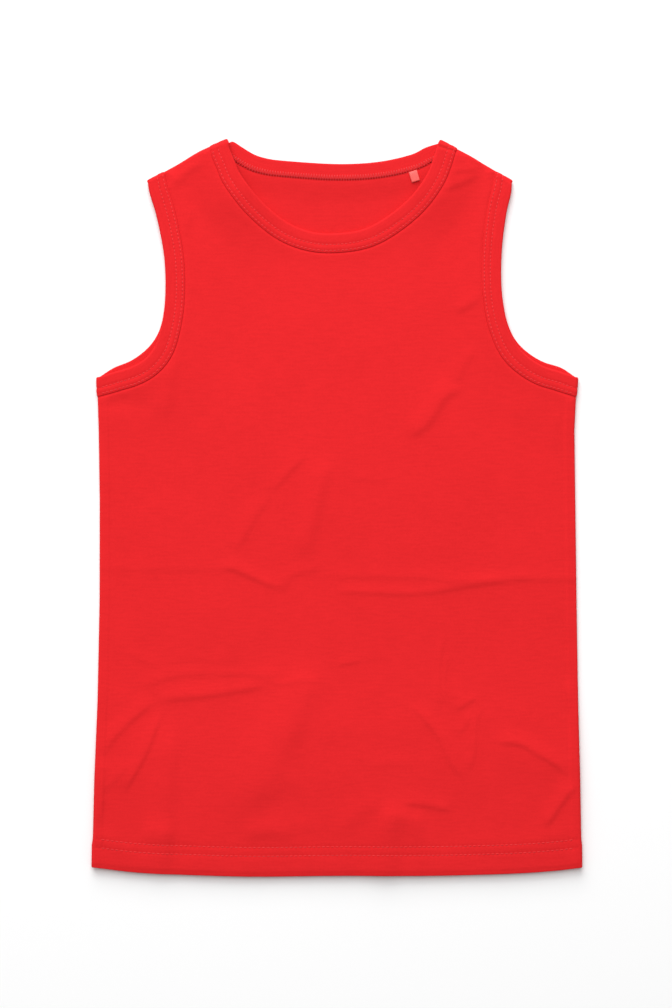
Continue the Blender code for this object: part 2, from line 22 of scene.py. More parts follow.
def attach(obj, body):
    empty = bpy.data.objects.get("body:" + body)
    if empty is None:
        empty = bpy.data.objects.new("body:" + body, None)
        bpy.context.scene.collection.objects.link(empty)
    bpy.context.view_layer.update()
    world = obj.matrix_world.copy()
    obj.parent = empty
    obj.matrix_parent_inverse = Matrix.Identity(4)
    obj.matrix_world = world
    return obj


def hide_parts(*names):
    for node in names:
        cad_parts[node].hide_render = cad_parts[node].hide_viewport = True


MM = 0.001
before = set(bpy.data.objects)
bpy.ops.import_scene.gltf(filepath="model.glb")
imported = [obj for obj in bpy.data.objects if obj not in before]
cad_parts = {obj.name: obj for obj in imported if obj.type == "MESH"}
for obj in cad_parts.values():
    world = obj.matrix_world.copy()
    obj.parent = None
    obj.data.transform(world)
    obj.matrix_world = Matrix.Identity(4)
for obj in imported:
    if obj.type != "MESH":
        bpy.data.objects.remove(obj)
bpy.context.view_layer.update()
print("solids:", sorted(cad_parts))

# %% [markdown]
# ## Cloth
#
# Jersey for a child's top is about half a millimetre thick. Sheets that lie on each other are kept
# apart by the air that is really between them.

# %% Sizes of the cloth
WALL = 0.5
LAYER = 0.7  # from the middle of one sheet to the middle of the next
BINDING_WIDTH = 13.6  # what shows of a binding, from its folded edge to its sewn edge
BINDING_INSIDE = 11.2  # the same on the inner side
FOLD_TO_RAW_EDGE = LAYER + WALL / 2
LEG_OUTSIDE = BINDING_WIDTH - FOLD_TO_RAW_EDGE
LEG_INSIDE = BINDING_INSIDE - FOLD_TO_RAW_EDGE
BINDING_SEAT = 13.0  # how far in from its raw edge a panel lies level under its binding
HEM_SEAT = 60.0  # how far above the hem the front keeps its height there

# Heights of the middle of each sheet above the table.
BACK_FLAT = 0.5
BACK_IN_BINDING = 1.3
FRONT_FLAT = 2.7
FRONT_AT_HEM = 5.0
FRONT_AT_NECK = 2.8
FRONT_IN_BINDING = 3.85
NECK_TIP_RISE = {"left": 2.8, "right": 2.0}  # of the front neck above that, at its two tips
NECK_RISE = (192.0, 228.0)  # the y over which the front neck climbs over the back's
SHOULDER_SEAT = 6.0
FRONT_FADE = 48.0  # length over which the front comes down from a binding
NECK_TIP_FADE = 34.0  # the same for the further rise of the neck's tips
BACK_FADE = 14.0
HEM_FADE = 100.0
FOLD_STRAIGHT = 0.25  # half of the upright stretch in the middle of a side or shoulder fold

# %% [markdown]
# ## The camera
#
# The top was photographed from straight above. A long lens far away keeps the perspective flat.
# Blender fits the sensor's width to the longer side of the picture, which is the upright one
# here, so the lens follows from how much of the table that side shows.

# %% Camera
PICTURE_HEIGHT = 705.6  # of the table, seen from top to bottom of the picture
PICTURE_MIDDLE = (-0.7, 2.45)
CAMERA_HEIGHT = 1800.0
SENSOR = 36.0

camera = bpy.data.objects.new("camera", bpy.data.cameras.new("camera"))
bpy.context.scene.collection.objects.link(camera)
camera.data.sensor_width = SENSOR
camera.data.lens = SENSOR * CAMERA_HEIGHT / PICTURE_HEIGHT
camera.location = (PICTURE_MIDDLE[0] * MM, PICTURE_MIDDLE[1] * MM, CAMERA_HEIGHT * MM)
bpy.context.scene.camera = camera
print("lens:", round(camera.data.lens, 2), "mm")

# %% [markdown]
# ## Table and light
#
# The light comes from two large softboxes beyond the neck and a little to the left, and from a
# white room. The low one is as wide as a window. So slopes that face the hem or the right are a
# little darker and show each crease, and the only shadow that one notices lies below the hem.
# Both are so close that the hem gets a tenth less light than the chest. The standard view
# transform keeps the red as saturated as it is on a screen; a film-like one would turn such a
# bright red towards orange.

# %% Stage
ROOM_LIGHT = 0.34
Softbox = namedtuple("Softbox", "name away elevation to_left width height power")
SOFTBOXES = (
    Softbox("high_softbox", 2900.0, 64, 8, 2300.0, 2300.0, 52.5),
    Softbox("low_softbox", 4100.0, 26, 12, 4100.0, 2300.0, 169.0),
)

scene = bpy.context.scene
scene.view_settings.view_transform = "Standard"
world = bpy.data.worlds.new("room")
world.use_nodes = True
room = world.node_tree.nodes["Background"].inputs
room["Color"].default_value = (1, 1, 1, 1)
room["Strength"].default_value = ROOM_LIGHT
scene.world = world

for box in SOFTBOXES:
    light = bpy.data.lights.new(box.name, "AREA")
    light.shape = "RECTANGLE"
    light.size, light.size_y = box.width * MM, box.height * MM
    light.energy = box.power
    up, left = math.radians(box.elevation), math.radians(box.to_left)
    behind = Vector((-math.sin(left) * math.cos(up), math.cos(left) * math.cos(up), math.sin(up)))
    softbox = bpy.data.objects.new(box.name, light)
    softbox.location = behind * box.away * MM
    softbox.rotation_euler = behind.to_track_quat("Z", "Y").to_euler()  # it looks at the middle
    scene.collection.objects.link(softbox)
    print(box.name, "at", [round(v, 2) for v in softbox.location])

bpy.ops.mesh.primitive_plane_add(size=12)
table_top = bpy.context.object
table_top.name = "table_top"

# %% [markdown]
# ## Shader maths as Python
#
# A node tree for cloth needs many small sums. This class wraps the output of a node, so that
# `1 - mask` or `fold * 0.4` adds the Math node that does it. Its `node` method adds any other
# node: the kind, its settings, and then a value or a link for each input.


# %% Values in a node tree
class Value:
    """An output socket in a material, for use in expressions."""

    def __init__(self, tree, socket=None):
        self.tree, self.socket = tree, socket

    def node(self, kind, settings, inputs, output=0):
        made = self.tree.nodes.new(kind)
        for name, setting in settings.items():
            setattr(made, name, setting)
        for name, given in inputs.items():
            if isinstance(given, Value):
                self.tree.links.new(given.socket, made.inputs[name])
            else:
                made.inputs[name].default_value = given
        return Value(self.tree, made.outputs[output])

    def math(self, operation, a, b=0.0):
        return self.node("ShaderNodeMath", {"operation": operation}, {0: a, 1: b})

    def __add__(self, other):
        return self.math("ADD", self, other)

    def __sub__(self, other):
        return self.math("SUBTRACT", self, other)

    def __rsub__(self, other):
        return self.math("SUBTRACT", other, self)

    def __mul__(self, other):
        return self.math("MULTIPLY", self, other)

    def __pow__(self, other):
        return self.math("POWER", self, other)

    def __abs__(self):
        return self.math("ABSOLUTE", self)

    __radd__, __rmul__ = __add__, __mul__

    def part(self):
        """What is left after the whole number."""
        return self.math("FRACT", self)

    def wave(self):
        """From 0 to 1 and back, once for each whole number."""
        return self.math("SINE", self * (2 * math.pi)) * 0.5 + 0.5

    def mix(self, a, b):
        """Colour a where this is 0, and b where it is 1."""
        return self.node("ShaderNodeMix", {"data_type": "RGBA"}, {0: self, 6: a, 7: b}, 2)

    def bump(self, height, strength):
        """The surface's direction, as if it had this height in millimetres."""
        inputs = {"Height": height, "Strength": strength, "Distance": MM}
        return self.node("ShaderNodeBump", {}, inputs)

    def noise(self, scale, detail, place=None):
        """Soft noise from 0 to 1, at this place or in the scene's own space."""
        inputs = {"Scale": scale, "Detail": detail}
        if place:
            inputs["Vector"] = place
        return self.node("ShaderNodeTexNoise", {}, inputs)

    def in_object(self):
        """The place in the object's own space, so that noise stays on the cloth."""
        return self.node("ShaderNodeTexCoord", {}, {}, 3)

    def on_cut(self, width, length):
        """How many widths across and lengths along a point was on the flat cloth."""
        place = self.node("ShaderNodeUVMap", {"uv_map": "cut"}, {})
        across = self.node("ShaderNodeSeparateXYZ", {}, {0: place}, 0) * (1 / (width * MM))
        along = self.node("ShaderNodeSeparateXYZ", {}, {0: place}, 1) * (1 / (length * MM))
        return place, across, along


def new_material(name, **constants):
    """A material whose shader has these values, and a blank Value to start its nodes from."""
    made = bpy.data.materials.new(name)
    made.use_nodes = True
    shader = made.node_tree.nodes["Principled BSDF"]
    for socket, value in constants.items():
        shader.inputs[socket.replace("_", " ")].default_value = value
    return made, shader, Value(made.node_tree)


def feed(shader, socket, value):
    value.tree.links.new(value.socket, shader.inputs[socket])


# %% [markdown]
# ## White table
#
# A matt white board. A trace of unevenness in its colour keeps it from looking like a void.

# %% Table material
BOARD_GREY, BOARD_WHITE = (0.92, 0.92, 0.92, 1), (0.94, 0.94, 0.94, 1)

board, board_shader, start = new_material("white_board", Roughness=0.7)
cloudy = start.noise(3.0, 2.0)
feed(board_shader, "Base Color", cloudy.mix(BOARD_GREY, BOARD_WHITE))
table_top.data.materials.append(board)
print("table ready")

# %% [markdown]
# ## Jersey
#
# Single jersey is knitted, not woven. Its right side shows columns of small Vs. Each piece gets a
# UV map named `cut`, which says where each point was on the flat cloth, in metres, so the columns
# turn with the cloth round every fold. The shares of a column across and of a row along give the
# height of the yarn. Painted shade darkens the grooves between the columns, and a faint streak along
# the rows and a broad cloudiness in the dye make the rest of the colour. Inside the neck the back is
# a shade deeper, partly for its duller wrong side and partly as painted shade. The bindings are a
# trace deeper than the front, as painted shade.

# %% Jersey material
RED = (0.740, 0.0180, 0.0215, 1)
DEEP_RED = (0.525, 0.0090, 0.0110, 1)
COLUMN = 0.72  # width of one column of stitches
ROW = 0.55
SLANT = 1.3  # rows that a strand climbs from the middle of its column outwards
STRAND = 0.45  # share of the yarn's height that comes and goes along it
# Both darken a copy of the jersey as painted shade; inside the neck part of it is the duller wrong
# side.
WRONG_SIDE_AND_PAINTED_SHADE, BAND_PAINTED_SHADE = 0.965, 0.985
LEAST_ROUGH, FLUFF_ROUGH = 0.82, 0.12
RELIEF = {"yarn": 0.10, "fluff": 0.10, "streak": 0.05}
KNIT_STRENGTH = 0.38
STREAK = (90.0, 640.0, 1.0)  # of the streaks: how many to a metre across, and along
# Of these, the groove share is painted shade in the hollows between the columns; fluff, streak and
# cloud are the yarn's own tone.
DEEPER = {"groove": 0.16, "fluff": 0.42, "streak": 0.50, "cloud": 0.24}  # shares of the deep red
DEEPEST_AT = 0.52  # taken off their sum, so that half of the cloth is plain red


def jersey(name, shade=1.0):
    """Knitted cotton; shade scales how bright it is, as painted shade where below 1."""
    made, shader, start = new_material(
        name, Roughness=0.88, Specular_IOR_Level=0.08, Sheen_Weight=0.05, Sheen_Roughness=0.45
    )
    shader.inputs["Sheen Tint"].default_value = (1.0, 0.55, 0.5, 1)
    place, across, along = start.on_cut(COLUMN, ROW)
    from_middle = abs(across.part() - 0.5)
    strand = (along + from_middle * SLANT).wave()
    column = 1 - (from_middle * 2) ** 3.0
    yarn = column * (1 - STRAND + strand * STRAND)

    solid = start.in_object()
    cloud, fluff = start.noise(16.0, 3.0, solid), start.noise(900.0, 2.0, solid)
    stretch = {"operation": "MULTIPLY"}
    stretched = start.node("ShaderNodeVectorMath", stretch, {0: place, 1: STREAK})
    streak = start.noise(1.0, 3.0, stretched)
    # Painted shade where the yarn is low, between the columns, plus the yarn's own fluff, streaks and
    # cloud.
    depth = (1 - yarn) * DEEPER["groove"] + fluff * DEEPER["fluff"]
    depth = depth + streak * DEEPER["streak"] + cloud * DEEPER["cloud"] - DEEPEST_AT
    red = tuple(v * shade for v in RED[:3]) + (1,)
    deep = tuple(v * shade for v in DEEP_RED[:3]) + (1,)
    feed(shader, "Base Color", depth.mix(red, deep))
    feed(shader, "Roughness", LEAST_ROUGH + fluff * FLUFF_ROUGH)
    height = yarn * RELIEF["yarn"] + fluff * RELIEF["fluff"] + streak * RELIEF["streak"]
    feed(shader, "Normal", start.bump(height, KNIT_STRENGTH))
    return made


# The back's copy and the bindings' copy are darker than the front's: painted shade.
FRONT_JERSEY = jersey("red_jersey")
BACK_JERSEY = jersey("red_jersey_inside", WRONG_SIDE_AND_PAINTED_SHADE)
BAND_JERSEY = jersey("red_binding", BAND_PAINTED_SHADE)
print("jersey:", len(FRONT_JERSEY.node_tree.nodes), "nodes")

# %% [markdown]
# ## Thread and tape
#
# The thread is spun polyester in the same red, smoother than the cotton, twisted, and so a little
# brighter. The loop label is a narrow woven tape in coral, with the fine ribs of its weft and
# painted shade in the hollows between them.

# %% Thread and tape materials
THREAD_RED, THREAD_DEEP = (0.79, 0.023, 0.027, 1), (0.63, 0.014, 0.017, 1)
# The first coral is painted shade for the hollows of the weave.
CORAL_PAINTED_SHADE, CORAL = (0.82, 0.070, 0.062, 1), (0.97, 0.125, 0.105, 1)
TWIST_RELIEF, WEAVE_RELIEF = 0.08, 0.1
TAPE_RIB = 0.42

thread, thread_shader, start = new_material("red_thread", Roughness=0.55, Sheen_Weight=0.1)
twist = start.noise(1500.0, 1.0, start.in_object())
feed(thread_shader, "Base Color", twist.mix(THREAD_RED, THREAD_DEEP))
feed(thread_shader, "Normal", start.bump(twist * TWIST_RELIEF, 0.6))

tape, tape_shader, start = new_material("coral_tape", Roughness=0.5, Sheen_Weight=0.2)
_, across, along = start.on_cut(TAPE_RIB, TAPE_RIB)
weave = along.wave() * 0.6 + across.wave() * 0.4
# The hollows between the ribs get the darker coral: painted shade.
feed(tape_shader, "Base Color", weave.mix(CORAL_PAINTED_SHADE, CORAL))
feed(tape_shader, "Normal", start.bump(weave * WEAVE_RELIEF, 0.7))
print("thread and tape ready")

# %% [markdown]
# ## Curves in the plane
#
# Every edge and crease is a short list of points that a smooth curve runs through. The curve is
# a Catmull-Rom spline, which passes through its points and bends evenly between them.


# %% Curves and distances
def smooth_curve(points, steps=30):
    """A dense polyline through the points, bending evenly from one to the next."""
    p = np.array(points, float)
    p = np.vstack([2 * p[0] - p[1], p, 2 * p[-1] - p[-2]])
    t = np.linspace(0, 1, steps, endpoint=False)[:, None]
    runs = []
    for a, b, c, d in zip(p, p[1:], p[2:], p[3:]):
        bend = (c - a) * t + (2 * a - 5 * b + 4 * c - d) * t**2 + (3 * b - a - 3 * c + d) * t**3
        runs.append(b + bend / 2)
    return np.vstack([*runs, p[-2]])


def lengths_along(line):
    steps = np.linalg.norm(np.diff(line, axis=0), axis=1)
    return np.concatenate([[0], np.cumsum(steps)])


def spaced(line, step):
    """Evenly spaced points along a polyline, about a step apart."""
    along = lengths_along(line)
    at = np.linspace(0, along[-1], max(2, round(along[-1] / step) + 1))
    return np.stack([np.interp(at, along, column) for column in line.T], axis=1)


def unit(v):
    return v / np.linalg.norm(v, axis=-1, keepdims=True)


def turned(v):
    """A direction in the plane turned a quarter turn anticlockwise."""
    return np.stack([-v[..., 1], v[..., 0]], axis=-1)


def ease(t):
    """Rises smoothly from 0 to 1 as t goes from 0 to 1."""
    t = np.clip(t, 0, 1)
    return t * t * (3 - 2 * t)


def nearest_on(line, points, at_once=6000):
    """How far left of the polyline each point is, and the share of its length passed there."""
    a, d = line[:-1], np.diff(line, axis=0)
    along = lengths_along(line)
    aways, shares = [], []
    for few in np.array_split(points, len(points) // at_once + 1):
        to = few[:, None] - a[None]
        t = np.clip((to * d).sum(-1) / (d * d).sum(-1), 0, 1)
        gap = to - t[..., None] * d
        away = np.linalg.norm(gap, axis=-1)
        best, row = away.argmin(axis=1), np.arange(len(few))
        left = d[best, 0] * to[row, best, 1] - d[best, 1] * to[row, best, 0]
        aways.append(away[row, best] * np.where(left < 0, -1, 1))
        shares.append((along[best] + t[row, best] * np.diff(along)[best]) / along[-1])
    return np.concatenate(aways), np.concatenate(shares)


print("a quarter turn of +X:", turned(np.array([1.0, 0.0])))

# %% [markdown]
# ## Outline
#
# The silhouette is measured from the photograph and written in millimetres from the middle of
# the top. The hem stands out by a millimetre where four layers of cloth lie on each other.

# %% Tables of the outline
Side = namedtuple("Side", "y left right")
SIDES = (
    Side(-252, -171.6, 171.5),
    Side(-236, -171.4, 171.3),
    Side(-231, -170.6, 170.7),
    Side(-190, -169.6, 170.0),
    Side(-135, -167.4, 168.6),
    Side(-65, -166.0, 167.5),
    Side(5, -165.9, 166.6),
    Side(54, -166.6, 166.0),
    Side(78, -167.3, 167.1),
    Side(92, -167.6, 168.0),
)
Point = namedtuple("Point", "x y")


def points_at(*pairs):
    return tuple(Point(*pair) for pair in pairs)


HEM_EDGE = points_at(
    (-172, -251.2), (-140, -255.0), (-107, -256.6), (-57, -257.9), (0, -257.3),
    (66, -257.3), (122, -255.8), (152, -253.8), (172, -251.4),
)
UNDERARM_Y = 90.2
LEFT_SHOULDER = points_at((-131.2, 227.0), (-99.8, 244.2), (-76.2, 254.2))
RIGHT_SHOULDER = points_at((121.3, 227.2), (96.5, 241.7), (71.5, 254.0))
FRONT_NECK = points_at(
    (-75.0, 250.5), (-71.4, 241.9), (-66.5, 231.2), (-53.5, 214.6), (-36.5, 200.3), (-20.0, 193.2),
    (-2.8, 191.5), (17.4, 194.3), (34.0, 202.6), (51.0, 216.5), (62.9, 233.0), (69.4, 250.5),
)
BACK_NECK = points_at(
    (-72.4, 255.7), (-66.5, 252.1), (-58.5, 247.3), (-51.2, 244.7), (-38.5, 242.7),
    (-0.7, 240.3), (28.0, 241.7), (51.0, 246.6), (61.8, 251.7),
)
ARMHOLE_LEFT_TOP = points_at(
    (-120.4, 142.0), (-119.9, 162.0), (-121.4, 180.0), (-126.0, 203.0), (-130.9, 219.5)
)
ARMHOLE_RIGHT_TOP = points_at(
    (117.4, 135.5), (114.9, 155.0), (115.2, 180.0), (118.3, 205.0), (121.6, 219.5)
)
FRONT_ARMHOLES = {
    "left": points_at(
        (-155.6, 94.6), (-144.0, 98.2), (-134.5, 103.6), (-127.6, 112.0), (-123.4, 124.0)
    ) + ARMHOLE_LEFT_TOP,
    "right": points_at(
        (156.2, 94.9), (144.5, 98.6), (134.0, 105.0), (126.4, 112.6), (121.6, 122.0)
    ) + ARMHOLE_RIGHT_TOP,
}
BACK_ARMHOLES = {
    "left": points_at(
        (-156.1, 97.7), (-144.0, 102.8), (-133.7, 110.3), (-126.9, 118.7), (-122.8, 128.5)
    ) + ARMHOLE_LEFT_TOP,
    "right": points_at(
        (156.8, 97.7), (144.2, 101.9), (134.0, 108.0), (126.2, 115.4), (121.2, 124.0)
    ) + ARMHOLE_RIGHT_TOP,
}
print("widest:", SIDES[0].right - SIDES[0].left, "mm")

# %% [markdown]
# ## Bound edges
#
# A binding is sewn over the raw edge of a panel. Each `Edge` is one stretch of raw edge, with a
# direction into the panel for each of its stations, a fraction of a millimetre apart. Where a
# stretch ends at a shoulder or underarm, the direction turns to lie along the fold there, so that
# the strip can go round the fold to the other panel.

# %% Edges of the panels
STATION = 0.7
FAN_LENGTH = 14.0  # over which the direction turns at the end of a stretch
BINDING_ROLL = (FRONT_IN_BINDING - BACK_IN_BINDING) / 2 - FOLD_STRAIGHT
SEAT_Y = UNDERARM_Y - BINDING_SEAT
HEM_LINE = smooth_curve(HEM_EDGE)
LEFT_LINE, RIGHT_LINE = smooth_curve(LEFT_SHOULDER), smooth_curve(RIGHT_SHOULDER)
INWARD = {"left": 1, "right": -1}  # which way along X the cloth lies from each side


def side_x(y, side):
    return np.interp(y, [row.y for row in SIDES], [getattr(row, side) for row in SIDES])


def hem_y(x):
    """Where the flat part of a panel ends and the turn of its hem starts."""
    return np.interp(x, HEM_LINE[:, 0], HEM_LINE[:, 1]) + (WALL + LAYER) / 2


def over_hem(x, rise):
    """A line across a panel, this far above the start of its hem's turn."""
    return np.stack([x, hem_y(x) + rise], axis=1)


def side_start(y, side, roll):
    """Where a side starts to roll, for a roll this wide."""
    x = side_x(y, side) + INWARD[side] * (WALL / 2 + roll)
    return np.stack([x, np.broadcast_to(y, np.shape(x))], axis=-1)


UNDERARM = {side: side_start(UNDERARM_Y, side, BINDING_ROLL) for side in ("left", "right")}
SIDE_ALONG = {
    side: unit(side_start(SEAT_Y, side, BINDING_ROLL) - UNDERARM[side]) for side in UNDERARM
}
SHOULDER = {"left": LEFT_LINE, "right": RIGHT_LINE}
ARM_ALONG = {side: unit(line[1] - line[0]) for side, line in SHOULDER.items()}
NECK_ALONG = {side: unit(line[-2] - line[-1]) for side, line in SHOULDER.items()}


class Edge:
    """One stretch of a panel's raw edge, with the directions that its binding takes."""

    def __init__(self, points, start, end, start_along, end_along, inside):
        first = start - FOLD_TO_RAW_EDGE * start_along
        last = end - FOLD_TO_RAW_EDGE * end_along
        folded = spaced(smooth_curve([first, *points, last], 60), STATION)
        across = inside * turned(unit(np.gradient(folded, axis=0)))
        along = lengths_along(folded)
        near_start = 1 - ease(along / FAN_LENGTH)[:, None]
        near_end = 1 - ease((along[-1] - along) / FAN_LENGTH)[:, None]
        self.into = unit(
            across * (1 - near_start - near_end) + start_along * near_start + end_along * near_end
        )
        self.raw = folded + FOLD_TO_RAW_EDGE * self.into


def edges_of(armholes, neck):
    """The three bound edges of a panel."""
    edges = {
        side: Edge(points, UNDERARM[side], SHOULDER[side][0], SIDE_ALONG[side], ARM_ALONG[side],
                   -INWARD[side])
        for side, points in armholes.items()
    }
    edges["neck"] = Edge(
        neck, LEFT_LINE[-1], RIGHT_LINE[-1], NECK_ALONG["left"], NECK_ALONG["right"], -1
    )
    return edges


FRONT_EDGES = edges_of(FRONT_ARMHOLES, FRONT_NECK)
BACK_EDGES = edges_of(BACK_ARMHOLES, BACK_NECK)
for name, edge in FRONT_EDGES.items():
    print(f"front {name}: {lengths_along(edge.raw)[-1]:.0f} mm, {len(edge.raw)} stations")

# %% [markdown]
# ## Creases
#
# The top has been stored folded across the middle, and smaller wrinkles fan out from that fold.
# In the photograph each shows as a fine dark line, the side of a small ridge that faces the hem.
# So a row gives that line, how far the cloth rises, and how wide the ridge is on its steep side
# and on its gentle side. The crest lies to the left of the line, looking along it.

# %% Table of creases
Crease = namedtuple("Crease", "rise steep gentle points")
FRONT_CREASES = (
    # The storage fold: faint from the left, a V, then two lines that close into one.
    Crease(0.2, 2.8, 5.0, ((-176, -44.5), (-140, -44.2), (-96, -44.5), (-66, -44.5))),
    Crease(0.55, 2.4, 5.0, ((-84, -43), (-73, -44), (-62, -48.6), (-50, -54), (-38, -58))),
    Crease(0.35, 3.2, 5.0, ((-46, -58), (-37, -56), (-30, -48.6), (-18, -45), (-8, -44))),
    Crease(0.25, 2.6, 5.0, ((-12, -49.5), (20, -49.2), (50, -49.5), (79, -50.8))),
    Crease(0.35, 3.0, 5.0, ((60, -52), (84, -52.5), (104, -52.6), (124, -51.3), (142, -50.8))),
    Crease(0.3, 2.4, 5.0, ((118, -51.3), (142, -50.8), (178, -52.5))),
    Crease(0.35, 2.2, 3.6, ((-4, -59), (20, -60.4), (44, -61), (66, -60.6))),
    Crease(0.45, 2.4, 4.5, ((52, -61), (68, -60), (84, -57), (102, -54.2), (124, -51.6))),
    # The fan on the lower left.
    Crease(0.2, 2.4, 5.0, ((-149, -101), (-141, -105.5), (-133, -109), (-124, -112))),
    Crease(0.15, 2.6, 5.0, ((-124, -108), (-96, -108), (-66, -107))),
    Crease(0.3, 2.8, 5.0, ((-141, -129), (-126, -123), (-108, -118), (-84, -117.5))),
    Crease(0.25, 2.4, 4.0, ((-92, -118), (-70, -117.5), (-50, -118.5), (-34, -116))),
    Crease(0.2, 2.0, 4.0, ((-52, -122), (-38, -124), (-22, -122), (-8, -124))),
    Crease(0.6, 2.8, 6.0, ((-130, -136), (-108, -134), (-87, -132), (-69, -129), (-44, -125))),
    Crease(0.6, 2.6, 6.0, ((-163, -178), (-158, -166), (-150, -156), (-138, -145), (-124, -134))),
    Crease(0.6, 3.0, 6.0, ((-166, -226), (-163, -206), (-161, -191), (-160, -172))),
    Crease(0.7, 2.2, 6.5, ((-150, -202), (-138, -182), (-131, -168), (-126, -155), (-121, -140))),
    Crease(1.1, 5.0, 11.0, ((-117, -270), (-117, -240), (-115, -206), (-114, -185), (-113, -160),
                            (-112, -142))),
    Crease(0.7, 7.0, 6.0, ((-138, -228), (-124, -232), (-110, -230))),
    Crease(0.3, 2.6, 5.0, ((-162, -200), (-152, -188), (-142, -178))),
    # The broad slope down the middle of the lower half.
    Crease(1.5, 11.0, 24.0, ((-70, -226), (-60, -212), (-47, -196), (-36, -176), (-23, -150),
                             (-12, -124), (-4, -104))),
    Crease(0.3, 5.0, 9.0, ((-46, -208), (-36, -196), (-22, -192))),
    Crease(0.75, 5.0, 9.0, ((-66, -231), (-47, -229), (-28, -231))),
    Crease(0.25, 4.0, 6.0, ((-31, -222), (-22, -226), (-13, -223))),
    # The lower right.
    Crease(0.3, 1.8, 4.0, ((-1, -111), (8, -109.5), (18, -107.5))),
    Crease(0.15, 2.6, 5.0, ((14, -108), (40, -105))),
    Crease(0.3, 1.8, 3.0, ((73, -146), (72, -128), (73, -106), (76, -86))),
    Crease(0.25, 1.8, 3.0, ((77, -138), (76, -120), (79, -100))),
    Crease(0.55, 2.4, 6.0, ((48, -136), (59, -147), (70, -161), (79, -179), (90, -194))),
    Crease(0.35, 2.0, 4.0, ((83, -143), (90, -138), (99, -133))),
    Crease(0.35, 2.0, 4.0, ((92, -188), (97, -168), (98, -150), (103, -138))),
    Crease(0.25, 2.2, 4.0, ((84, -160), (91, -152), (94, -143))),
    Crease(0.8, 2.6, 7.0, ((106, -164), (127, -166), (138, -172), (150, -179), (164, -190))),
    Crease(0.75, 2.6, 6.0, ((145, -226), (154, -212), (162, -201), (170, -193))),
    Crease(0.35, 2.2, 5.0, ((160, -118), (160, -130), (165, -146), (171, -158))),
    Crease(0.55, 2.6, 6.0, ((44, -207), (55, -208), (65, -209.5), (82, -213))),
    Crease(0.2, 3.0, 5.0, ((20, -181), (36, -181), (58, -179))),
    Crease(1.0, 7.0, 12.0, ((40, -270), (41, -246), (41, -230), (45, -219), (58, -215))),
    Crease(0.85, 12.0, 6.0, ((26, -222), (44, -226), (64, -228))),
    Crease(0.45, 5.0, 9.0, ((2, -234), (11, -222), (22, -212), (34, -209))),
    Crease(0.6, 12.0, 9.0, ((104, -178), (128, -182), (152, -194))),
    Crease(0.3, 8.0, 7.0, ((70, -234), (104, -242), (136, -240), (178, -228))),
    Crease(0.35, 6.0, 7.0, ((-180, -228), (-158, -238), (-138, -246))),
    Crease(-0.2, 8.0, 8.0, ((44, -88), (60, -86))),
    # Chest.
    Crease(0.85, 3.6, 9.0, ((46, 49), (57, 52), (67, 61), (73, 71), (79, 78), (92, 82))),
    Crease(0.35, 3.0, 6.0, ((83, 86), (88, 94), (97, 112))),
    Crease(0.55, 3.2, 6.0, ((82, 135), (92, 140), (104, 147))),
    Crease(0.45, 2.6, 6.0, ((-46, 9), (-38, 18), (-30, 27), (-20, 37))),
    Crease(0.45, 3.0, 7.0, ((-72, -34), (-60, -14), (-46, 9))),
    Crease(0.95, 4.5, 10.0, ((-22, -42), (-15, -14), (-10, 8), (-2, 38))),
    Crease(0.2, 4.0, 7.0, ((-16, 56), (-12, 74), (-4, 92))),
    Crease(0.15, 2.2, 4.0, ((7, 20), (22, 18.5), (37, 16.5))),
    Crease(0.2, 2.6, 5.0, ((155, 40), (154, 55), (156, 68))),
    # Straps, and the pull of the armholes.
    Crease(0.5, 2.6, 5.0, ((72, 220), (88, 226), (102, 233))),
    Crease(0.4, 2.4, 4.0, ((74, 233), (88, 234), (102, 237))),
    Crease(0.2, 2.6, 4.0, ((66, 215), (81, 214))),
    Crease(0.55, 3.6, 7.0, ((-121, 222), (-110, 227), (-102, 234), (-90, 242))),
    Crease(0.25, 2.6, 5.0, ((-106, 188), (-103, 198), (-98, 212))),
    Crease(0.2, 3.0, 4.0, ((-106, 151), (-97, 153))),
    Crease(0.55, 4.0, 4.5, ((-118, 60), (-115, 82), (-110, 110))),
    Crease(-0.5, 6.0, 8.0, ((-172, 71), (-146, 68), (-126, 66))),
    Crease(0.15, 6.0, 9.0, ((112, 60), (130, 64), (150, 70))),
)
BACK_CREASES = (
    Crease(0.5, 3.0, 5.0, ((-176, -46), (-90, -47), (-20, -51), (60, -50), (178, -52))),
    Crease(0.3, 3.5, 5.0, ((-140, -150), (-95, -138), (-52, -140))),
    Crease(0.3, 3.5, 5.0, ((40, -160), (86, -148), (131, -163))),
    Crease(0.25, 4.0, 5.0, ((-70, 52), (-20, 61), (30, 50))),
    Crease(0.2, 4.0, 5.0, ((-30, 214), (-8, 219), (16, 215))),
)
CREASE_FADE = 0.24  # share of a crease's length over which each end dies away
CREST_BACK = 0.7  # how far behind its dark line a crest lies, as a share of the steep side
print(len(FRONT_CREASES), "creases in front and", len(BACK_CREASES), "behind")

# %% [markdown]
# ## Heights
#
# The cloth is laid, not draped, so each panel is a height over the table. The front lies level in
# its bindings and on its hem, comes down between them, and carries the creases. The several
# raised zones are joined with a fourth-power mean, which blends them where they meet, while the
# higher of two would leave a sharp valley between them. Noise of two sizes gives the slight
# unevenness that no hand can smooth away.

